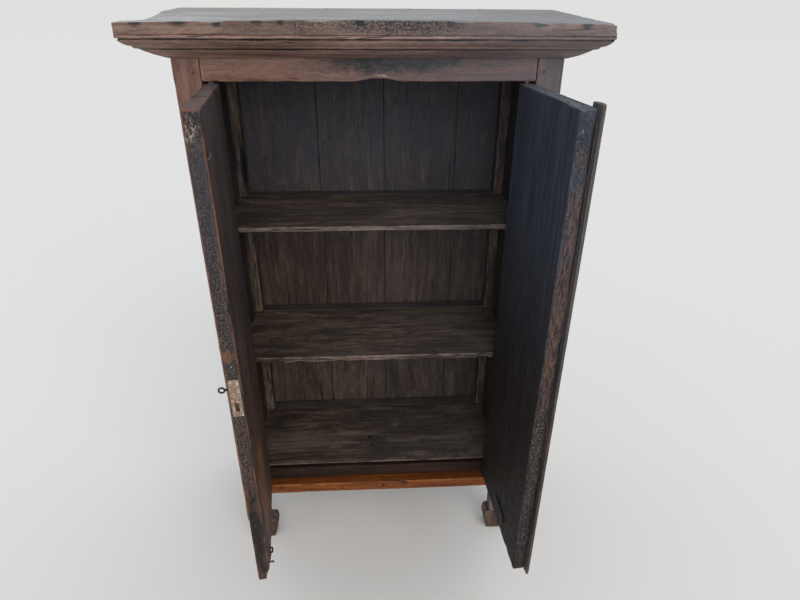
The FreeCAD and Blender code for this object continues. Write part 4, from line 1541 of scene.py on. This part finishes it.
    @staticmethod
    def scrapes(front: float) -> tuple:
        """Scrape the back boards, where things were pushed against them.

        Args:
            front: The depth of their faces.

        Returns:
            The spots.
        """
        places = ((-0.332, 1.184, 5, 13, 0.9), (-0.045, 1.088, 80, 24, 0.42),
                  (0.2, 1.09, 60, 20, 0.36), (-0.093, 0.69, 18, 16, 0.7),
                  (0.189, 0.755, 8, 30, 0.8), (0.211, 0.782, 6, 20, 0.6),
                  (0.084, 0.774, 6, 24, 0.7), (0.13, 0.76, 60, 40, 0.42),
                  (-0.085, 0.74, 50, 44, 0.45), (-0.228, 0.352, 12, 14, 0.8),
                  (0.02, 0.34, 40, 30, 0.4))
        return tuple(Spot(Mark.PALE, (x, front, z), (wide * MM, 9 * MM, tall * MM), strength)
                     for x, z, wide, tall, strength in places)

    def build_shelves(self) -> None:
        """Make the floor and the two shelves, and give the cleats their wood."""
        self.build_floor()
        self.build_middle_shelf()
        for part in ("front", "rear"):
            self.build_upper_shelf(part)
        for node in ("floor_cleats", "middle_shelf_cleats", "upper_shelf_cleats"):
            dress(node, DARK.material(Grain.Y))

    def build_floor(self) -> None:
        """Make the floor, with its knots and pale places."""
        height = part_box("floor_board")[1].z
        spots = tuple(Spot(mark, (x, y, height), mm(wide, deep, 9), strength)
                      for mark, x, y, wide, deep, strength in (
                          (Mark.DARK, -0.022, 0.134, 13, 13, 1.0),
                          (Mark.DARK, -0.016, 0.1, 9, 12, 1.0),
                          (Mark.PALE, -0.256, 0.12, 18, 16, 0.7),
                          (Mark.DARK, 0.309, 0.152, 22, 8, 0.8),
                          (Mark.PALE, -0.1, 0.07, 90, 34, 0.4),
                          (Mark.PALE, 0.1, 0.13, 140, 40, 0.35)))
        self.plain("floor_board", Grain.X, SHELF, self.shelf_wear, spots=spots)

    def build_middle_shelf(self) -> None:
        """Make the middle shelf, with its bitten and bare edge and pale places."""
        low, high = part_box("middle_shelf")
        bites = tuple(Dent((x, low.y, low.z + 4 * MM), mm(wide, 9, 12), mm(0, 3.5, 2))
                      for x, wide in ((-0.33, 50), (-0.21, 26), (-0.1, 18), (0.16, 40), (0.3, 24)))
        bare = tuple(Spot(Mark.RAW, (x, low.y, high.z), mm(wide, 7, 10), 0.9)
                     for x, wide in ((-0.13, 30), (-0.03, 22), (0.2, 34)))
        pale = tuple(Spot(Mark.PALE, (x, y, high.z), mm(wide, deep, 8), strength)
                     for x, y, wide, deep, strength in (
                         (-0.354, 0.18, 20, 8, 0.8), (-0.22, 0.145, 26, 14, 0.7),
                         (0.107, 0.19, 26, 10, 0.8), (-0.3, 0.094, 40, 24, 0.55),
                         (0.02, 0.12, 200, 60, 0.35)))
        self.plain("middle_shelf", Grain.X, SHELF, self.shelf_wear, dents=bites, spots=bare + pale)

    def build_upper_shelf(self, part: str) -> None:
        """Make one board of the upper shelf; the joint between them slants.

        Args:
            part: "front" or "rear".
        """
        node = f"upper_shelf_{part}"
        low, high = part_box(node)
        front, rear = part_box("upper_shelf_front"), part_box("upper_shelf_rear")
        left, right = front[1].y, rear[0].y
        inner = (front[0].x, front[1].x)

        def slant(points: np.ndarray) -> np.ndarray:
            """Bring the inner edge of the board to the slanting joint.

            Args:
                points: The board's vertices.

            Returns:
                The moved vertices.
            """
            share = (points[:, 0] - inner[0]) / (inner[1] - inner[0])
            joint = left + (right - left) * share
            if part == "front":
                reach = joint - 2 * MM - low.y
                points[:, 1] = low.y + (points[:, 1] - low.y) * reach / (left - low.y)
            else:
                reach = high.y - joint
                points[:, 1] = high.y - (high.y - points[:, 1]) * reach / (high.y - right)
            return points

        middle = (low.z + high.z) / 2
        face = (Spot(Mark.RAW, (0, front[0].y, middle), (0.8, *mm(5, 14)), 0.55),
                Spot(Mark.DARK, (-0.06, front[0].y, middle), mm(60, 6, 9), 0.4),
                Spot(Mark.DARK, (0.24, front[0].y, middle), mm(110, 6, 8), 0.5))
        self.plain(node, Grain.X, SHELF, self.shelf_wear, bend=slant,
                   spots=face if part == "front" else ())

    def build_feet(self) -> None:
        """Carve each foot out of its CAD box: a ledge inside the post and a tapered sole."""
        for place in ("front", "rear"):
            for side, sign in (("left", -1), ("right", 1)):
                self.build_foot(f"{place}_foot_{side}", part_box(f"{place}_post_{side}"), sign)

    def build_foot(self, node: str, post: tuple, sign: int) -> None:
        """Make one foot between the floor and its post.

        Args:
            node: The CAD foot that it stands for.
            post: The lowest and highest corners of the post on it.
            sign: -1 on the left and 1 on the right.
        """
        low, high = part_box(node)
        inner = (low.x if sign > 0 else high.x) * sign
        outer = (high.x if sign > 0 else low.x) * sign
        top = post[0].z
        heights = np.array([0.0, self.belly / 2, self.belly, (self.belly + top) / 2, top])
        inward = inner + np.array([self.sole_taper, self.sole_taper * 0.35, 0.0, *mm(1.5, 5)])
        outward = np.full(5, outer)
        toe = post[0].y - low.y
        front = np.array([*(low.y + toe * share for share in (0, 0.4, 0.85, 0.95)), post[0].y])
        rear = np.full(5, high.y)

        def carve(points: np.ndarray) -> np.ndarray:
            """Move a plain block's sides to the foot's outline at each height.

            Args:
                points: The block's vertices.

            Returns:
                The moved vertices.
            """
            u, v, z = points[:, 0].copy(), points[:, 1].copy(), points[:, 2]
            wide = [np.interp(z, heights, line) for line in (inward, outward)]
            deep = [np.interp(z, heights, line) for line in (front, rear)]
            points[:, 0] = sign * (wide[0] + (wide[1] - wide[0]) * (u / span * sign + 0.5))
            points[:, 1] = deep[0] + (deep[1] - deep[0]) * (v / span + 0.5)
            return points

        span = outer - inner
        half = span / 2
        outline = box_outline((-half, -half), (half, half))
        sweep = Sweep(f"carved_{node}", outline, (0.0, post[0].z), Grain.Z, self.foot_wear,
                      bend=carve)
        self.hanger.hang(sweep, FOOT, node)

    def dress_fastenings(self) -> None:
        """Give the pegs and nails their materials."""
        dress("frame_pegs", STAIN.material(Grain.Y))
        dress("carcass_nails", IRON.material())


@dataclass(kw_only=True)
class Leaf:
    """A plank leaf with a round heel, made closed and hung open."""

    side: str
    free_node: str
    hanger: Hanger
    bead_margin: float = 58.0 * MM
    bead_middle: float = 44.0 * MM
    bead_width: float = 5.0 * MM
    bead_depth: float = 3.0 * MM
    finish: WoodFinish = LEFT_LEAF
    wear: Wear = Wear.of(arris=4, wander=0.7, ripple=0.5, chip=3, along=5, across=4, bare=0.7)

    def __post_init__(self) -> None:
        """Take the leaf's main lines from the CAD."""
        self.sign = -1 if self.side == "left" else 1
        self.heel = self.hanger.box(f"{self.side}_door_hinge_board")
        self.free = self.hanger.box(self.free_node)
        self.outer, self.inner = self.free[0].y, self.free[1].y
        self.low, self.high = self.free[0].z, self.free[1].z
        self.free_x = self.free[1 if self.sign < 0 else 0].x
        self.heel_x = self.heel[0 if self.sign < 0 else 1].x
        self.width = abs(self.free_x - self.heel_x)

    def at(self, back: float, depth: float, height: float) -> tuple:
        """Give a place on the closed leaf.

        Args:
            back: Millimetres back from the free edge.
            depth: Millimetres in from the outer face.
            height: Metres above the floor.

        Returns:
            The place.
        """
        from_heel = self.width - back * MM
        return (self.heel_x - self.sign * from_heel, self.outer + depth * MM, height)

    def dents(self, *rows: tuple) -> tuple:
        """Make dents from rows of a place, a reach, a push and a roughness."""
        return tuple(Dent(self.at(*place), mm(*reach), mm(*push), rough)
                     for place, reach, push, rough in rows)

    def spots(self, *rows: tuple) -> tuple:
        """Make spots from rows of a mark, a place, a reach and a strength."""
        return tuple(Spot(mark, self.at(*place), mm(*reach), strength)
                     for mark, place, reach, strength in rows)

    def beads(self) -> tuple:
        """Lay out the two sunk beads on the outer face.

        Returns:
            The beads.
        """
        middle = (self.low + self.high) / 2
        left, right = sorted((self.free_x + self.sign * self.bead_margin,
                              self.heel_x - self.sign * self.bead_margin))
        half = self.bead_width / 2
        spans = ((self.low + self.bead_margin, middle - self.bead_middle),
                 (middle + self.bead_middle, self.high - self.bead_margin))
        return tuple(Bead((left + half, low + half), (right - half, high - half), self.outer,
                          self.bead_width, self.bead_depth, 1.0) for low, high in spans)

    def build(self, dents: tuple = (), spots: tuple = ()) -> None:
        """Make the two boards of the leaf.

        Args:
            dents: Hollows worn into the free board.
            spots: Marks on both boards.
        """
        beads = self.beads()
        half = self.bead_width / 2
        across = tuple(line + side for bead in beads[:1] for line in (bead.low[0], bead.high[0])
                       for side in (-half, 0.0, half))
        along = tuple(line + side for bead in beads for line in (bead.low[1], bead.high[1])
                      for side in (-half, 0.0, half))
        more = {"beads": beads, "breaks_across": across, "breaks_along": along, "spots": spots,
                "dents": dents}
        low, high = self.free
        joint_corners = (0, 3) if self.sign < 0 else (1, 2)
        free = board(f"worn_{self.free_node}", low, high, Grain.Z, self.wear,
                     crisp=joint_corners, **more)
        self.hanger.hang(free, self.finish, self.free_node)
        radius = (self.inner - self.outer) / 2
        pivot = (self.heel_x - self.sign * radius, (self.inner + self.outer) / 2)
        joint = self.heel[1 if self.sign < 0 else 0].x
        start, first, last = ((-90, self.outer, self.inner) if self.sign > 0
                              else (90, self.inner, self.outer))
        curve = arc_points(pivot, radius, start, start + 180, 9)
        outline = [(joint, first), *curve, (joint, last)]
        heel = Sweep(f"worn_{self.side}_heel_board", outline, (low.z, high.z), Grain.Z, self.wear,
                     crisp=(0, len(outline) - 1), **more)
        self.hanger.hang(heel, self.finish, f"{self.side}_door_hinge_board")
        dress(f"{self.side}_door_pintles", self.finish.material(Grain.Z))
        dress(f"{self.side}_door_dowels", SHELF.material(Grain.X))


@dataclass(kw_only=True)
class LeftLeaf(Leaf):
    """The left leaf, gnawed at its top, with the lock in its free edge."""

    side: str = "left"
    free_node: str = "left_door_lock_board"

    def build_worn(self) -> None:
        """Make the boards with the damage that the photograph shows, and dress the iron."""
        dents = self.dents(
            ((0, 8, 1.322), (12, 14, 14), (-2.5, 0, 0), 1.0),
            ((0, 22, 1.302), (14, 14, 14), (-3, 0, 0), 1.0),
            ((0, 31, 1.276), (16, 7, 10), (-1.5, -2, 0), 0.9),
            ((0, 31, 1.315), (8, 7, 32), (-2, -3, 0), 0.9),
            ((0, 4, 0.79), (30, 9, 45), (-2.5, 2, 0), 0.8),
            ((0, 31, 0.788), (22, 10, 16), (-4, -4, 0), 0.8),
            ((0, 29, 1.0), (10, 6, 60), (-2, -2, 0), 0.7),
            ((0, 33, self.low), (60, 20, 34), (0, -11, 0), 0.3),
        )
        spots = self.spots(
            (Mark.PALE, (0, 12, 1.318), (9, 24, 34), 0.75),
            (Mark.RAW, (0, 14, 0.885), (9, 24, 30), 0.55),
            (Mark.CRACKED, (40, 14, self.high), (90, 30, 8), 0.9),
            (Mark.CRACKED, (0, 14, 1.33), (12, 30, 46), 0.9),
            (Mark.CRACKED, (0, 14, 0.8), (9, 24, 700), 0.7),
            (Mark.DARK, (0, 14, 0.4), (9, 24, 330), 0.62),
            (Mark.PALE, (0, 14, 0.786), (9, 20, 52), 1.0),
            (Mark.PALE, (0, 31, 0.79), (22, 5, 24), 0.7),
            (Mark.PALE, (0, 14, 0.862), (6, 16, 18), 0.6),
            (Mark.RAW, (0, 31, 1.15), (6, 4, 260), 1.0),
            (Mark.RAW, (0, 31, 0.9), (6, 4, 160), 1.0),
            (Mark.RAW, (0, 0, 1.0), (5, 3, 330), 0.7),
            (Mark.DARK, (0, 30, 0.99), (5, 4, 36), 0.9),
            (Mark.RAW, (110, 31, 0.42), (170, 8, 260), 0.52),
        )
        self.build(dents, spots)
        self.build_irons()
        for node, iron in (("lock_case", LOCK), ("lock_plate", LOCK), ("lock_bolt", IRON),
                           ("key", IRON)):
            dress(node, iron.material())

    def build_irons(self) -> None:
        """Bend the staple, the hooked nail and the bent nail out of uneven wire."""
        high = self.hanger.box("left_door_irons")[1]
        foot, root = self.inner - 6 * MM, self.inner - 2 * MM
        staple, hook, nail = (self.free_x - setback for setback in mm(52, 13, 9))
        eye, half = mm(262, 8)
        elbow, bend = 268 * MM, high.z - 10 * MM
        crown = self.inner + 6.5 * MM
        out = high.y - 2.0 * MM
        self.build_iron("staple", IRON, 2.2, (
            (staple - half, foot, eye), (staple - half, root, eye),
            (staple - half * 0.9, crown - 1 * MM, eye), (staple, crown, eye - 0.5 * MM),
            (staple + half * 0.8, crown - 1 * MM, eye), (staple + half, root, eye + 1.0 * MM),
            (staple + half, foot, eye)))
        self.build_iron("hook", IRON, 2.2, (
            (hook, foot, elbow), (hook, root, elbow), (hook, out - 4 * MM, elbow + 0.5 * MM),
            (hook - 1.0 * MM, out - 0.5 * MM, elbow - 1.0 * MM),
            (hook - 3 * MM, out, elbow - 4.5 * MM),
            (hook - 4.5 * MM, out - 0.5 * MM, elbow - 8 * MM)))
        self.build_iron("bent_nail", BRIGHT_IRON, 1.5, (
            (nail, foot, bend), (nail, root, bend), (nail, self.inner + 2 * MM, bend + 1 * MM),
            (nail - 5 * MM, self.inner + 3.5 * MM, bend + 7 * MM),
            (nail - 9 * MM, self.inner + 2.5 * MM, bend + 9 * MM)))

    def build_iron(self, name: str, finish: IronFinish, radius: float, path: tuple) -> None:
        """Make one iron and hang it on the leaf.

        Args:
            name: What it is.
            finish: Its kind of iron.
            radius: Its radius in millimetres.
            path: The points that it is bent through.
        """
        mesh = Wire(f"wrought_{name}", path, radius * MM).mesh()
        mesh.materials.append(finish.material())
        self.hanger.place(mesh, ("left_door_irons",))


@dataclass(kw_only=True)
class RightLeaf(Leaf):
    """The right leaf with its rounded astragal and the cleat low on its inside."""

    side: str = "right"
    free_node: str = "right_door_free_board"
    finish: WoodFinish = RIGHT_LEAF
    nose: float = 4.0 * MM
    clearance: float = 0.8 * MM

    def build_worn(self) -> None:
        """Make the boards, the astragal and the cleat."""
        dents = self.dents(
            ((0, 24, self.high), (26, 24, 12), (1, -1.5, -4), 0.6),
            ((40, 31, self.high), (26, 20, 9), (0, 0, -3), 0.5),
            ((0, 31, 0.55), (10, 6, 90), (2, -2, 0), 0.6),
        )
        spots = self.spots(
            (Mark.CRACKED, (0, 16, 0.8), (9, 24, 760), 0.9),
            (Mark.PALE, (0, 12, self.high), (60, 22, 8), 0.5),
            (Mark.RAW, (0, 31, 0.65), (6, 4, 300), 0.6),
            (Mark.RAW, (0, 14, 1.0), (9, 24, 460), 0.7),
            (Mark.PALE, (0, 14, self.high - 30 * MM), (9, 24, 60), 0.5),
            (Mark.DARK, (160, 31, 0.35), (200, 8, 320), 0.5),
        )
        self.build(dents, spots)
        self.build_astragal()
        low, high = self.hanger.box("right_door_cleat")
        wear = Wear.of(arris=3, wander=1, ripple=0.8, chip=2.5, along=4, across=3.5)
        cleat = board("worn_cleat", low, high, Grain.X, wear)
        self.hanger.hang(cleat, RIGHT_LEAF, "right_door_cleat")

    def build_astragal(self) -> None:
        """Run the astragal's rounded outline up the leaf's free edge."""
        low, high = self.hanger.box("right_door_astragal")
        seat, edge = self.outer, self.outer - self.clearance
        middle = (low.x + high.x) / 2
        half = (high.x - low.x) / 2
        arch = [(middle + half * x, low.y + self.nose * x * x) for x in np.linspace(-1, 1, 9)]
        outline = [*arch, (high.x, seat), (self.free_x, seat), (self.free_x, edge), (low.x, edge)]
        wear = Wear.of(arris=2.5, wander=0.7, ripple=0.4, chip=2.5, along=6, across=4, bare=0.55)
        strip = Sweep("worn_astragal", outline, (low.z, high.z), Grain.Z, wear)
        self.hanger.hang(strip, ASTRAGAL, "right_door_astragal")


@dataclass(frozen=True)
class PhotoCamera:
    """The photograph's camera, found by fitting the cabinet's corners to the picture."""

    place: tuple = (-0.01016, -1.28589, 1.50043)
    turn: float = 0.05814
    tilt: float = -0.48143
    roll: float = 0.00648
    focal_pixels: float = 562.641
    image_width: int = 800
    sensor_width: float = 36.0
    clip: tuple = (0.05, 200)

    def build(self) -> None:
        """Make the camera and set it as the scene's."""
        ahead = Vector((math.sin(self.turn) * math.cos(self.tilt),
                        math.cos(self.turn) * math.cos(self.tilt), math.sin(self.tilt)))
        level = Vector((math.cos(self.turn), -math.sin(self.turn), 0))
        above = level.cross(ahead)
        right = level * math.cos(self.roll) + above * math.sin(self.roll)
        up = above * math.cos(self.roll) - level * math.sin(self.roll)
        data = bpy.data.cameras.new("photo_camera")
        data.sensor_width = self.sensor_width
        data.lens = data.sensor_width * self.focal_pixels / self.image_width
        data.clip_start, data.clip_end = self.clip
        camera = bpy.data.objects.new("photo_camera", data)
        aim = Matrix((right, up, -ahead)).transposed().to_4x4()
        camera.matrix_world = Matrix.Translation(self.place) @ aim
        bpy.context.scene.collection.objects.link(camera)
        bpy.context.scene.camera = camera


@dataclass(frozen=True)
class Lamp:
    """A broad distant lamp; its turns away from straight down and its width are in degrees."""

    name: str
    strength: float
    tilt: tuple
    spread: float
    colour: tuple

    def build(self) -> None:
        """Make the lamp."""
        data = bpy.data.lights.new(self.name, "SUN")
        data.energy = self.strength
        data.angle = math.radians(self.spread)
        data.color = self.colour
        lamp = bpy.data.objects.new(self.name, data)
        lamp.rotation_euler = [math.radians(part) for part in self.tilt]
        bpy.context.scene.collection.objects.link(lamp)


@dataclass(frozen=True)
class Studio:
    """A pale floor under plain soft light."""

    floor_size: float = 60.0
    floor_colour: tuple = srgb(227, 222, 217)
    seen_colour: tuple = srgb(224, 225, 223)
    sky_colour: tuple = (0.86, 0.93, 1.0, 1.0)
    sky_strength: float = 0.8
    lamps: tuple = (Lamp("key_lamp", 1.6, (60, 0, 12), 60, (1.0, 0.98, 0.95)),
                    Lamp("back_lamp", 0.25, (-35, 25, 0), 70, (0.85, 0.93, 1.0)))

    def build(self) -> None:
        """Make the floor, the sky and two broad lamps, and show colours plainly."""
        bpy.context.scene.view_settings.view_transform = "Standard"
        half = self.floor_size / 2
        mesh = bpy.data.meshes.new("studio_floor")
        corners = [(-half, -half, 0), (half, -half, 0), (half, half, 0), (-half, half, 0)]
        mesh.from_pydata(corners, [], [(0, 1, 2, 3)])
        graph = Graph("studio_floor")
        tint = graph.noise(graph.node("ShaderNodeTexCoord", "Object"), 1.5, 2)
        lower = tuple(part * 0.985 for part in self.floor_colour[:3])
        graph.surface("Base Color", graph.mix(tint, self.floor_colour, (*lower, 1.0)))
        graph.surface("Roughness", 0.9)
        graph.surface("Specular IOR Level", 0.1)
        mesh.materials.append(graph.material)
        floor = bpy.data.objects.new("studio_floor", mesh)
        bpy.context.scene.collection.objects.link(floor)
        self.build_sky()
        for lamp in self.lamps:
            lamp.build()

    def build_sky(self) -> None:
        """Light from all round, with a plain pale colour where the camera looks past the floor."""
        world = bpy.data.worlds.new("studio_sky")
        bpy.context.scene.world = world
        world.use_nodes = True
        tree = world.node_tree
        seen = tree.nodes.new("ShaderNodeBackground")
        seen.inputs["Color"].default_value = self.seen_colour
        light = tree.nodes["Background"]
        light.inputs["Color"].default_value = self.sky_colour
        light.inputs["Strength"].default_value = self.sky_strength
        path = tree.nodes.new("ShaderNodeLightPath")
        mix = tree.nodes.new("ShaderNodeMixShader")
        seen_by = path.outputs["Is Camera Ray"]
        for kind in ("Is Glossy Ray", "Is Transmission Ray"):
            either = tree.nodes.new("ShaderNodeMath")
            either.operation = "MAXIMUM"
            tree.links.new(seen_by, either.inputs[0])
            tree.links.new(path.outputs[kind], either.inputs[1])
            seen_by = either.outputs[0]
        tree.links.new(seen_by, mix.inputs[0])
        tree.links.new(light.outputs[0], mix.inputs[1])
        tree.links.new(seen.outputs[0], mix.inputs[2])
        tree.links.new(mix.outputs[0], tree.nodes["World Output"].inputs["Surface"])


def main() -> None:
    """Build the studio and dress the cupboard, part by part."""
    logging.basicConfig(level=logging.INFO, format="%(name)s: %(message)s")
    PhotoCamera().build()
    Studio().build()
    top = Top()
    top.build()
    LOG.info("top and cornice made")
    Carcass(top).build()
    LOG.info("carcass made")
    LeftLeaf(hanger=leaf_hanger("left_door", "left_door_hinge")).build_worn()
    RightLeaf(hanger=leaf_hanger("right_door", "right_door_hinge")).build_worn()
    LOG.info("leaves hung")


if __name__ == "__main__":
    main()
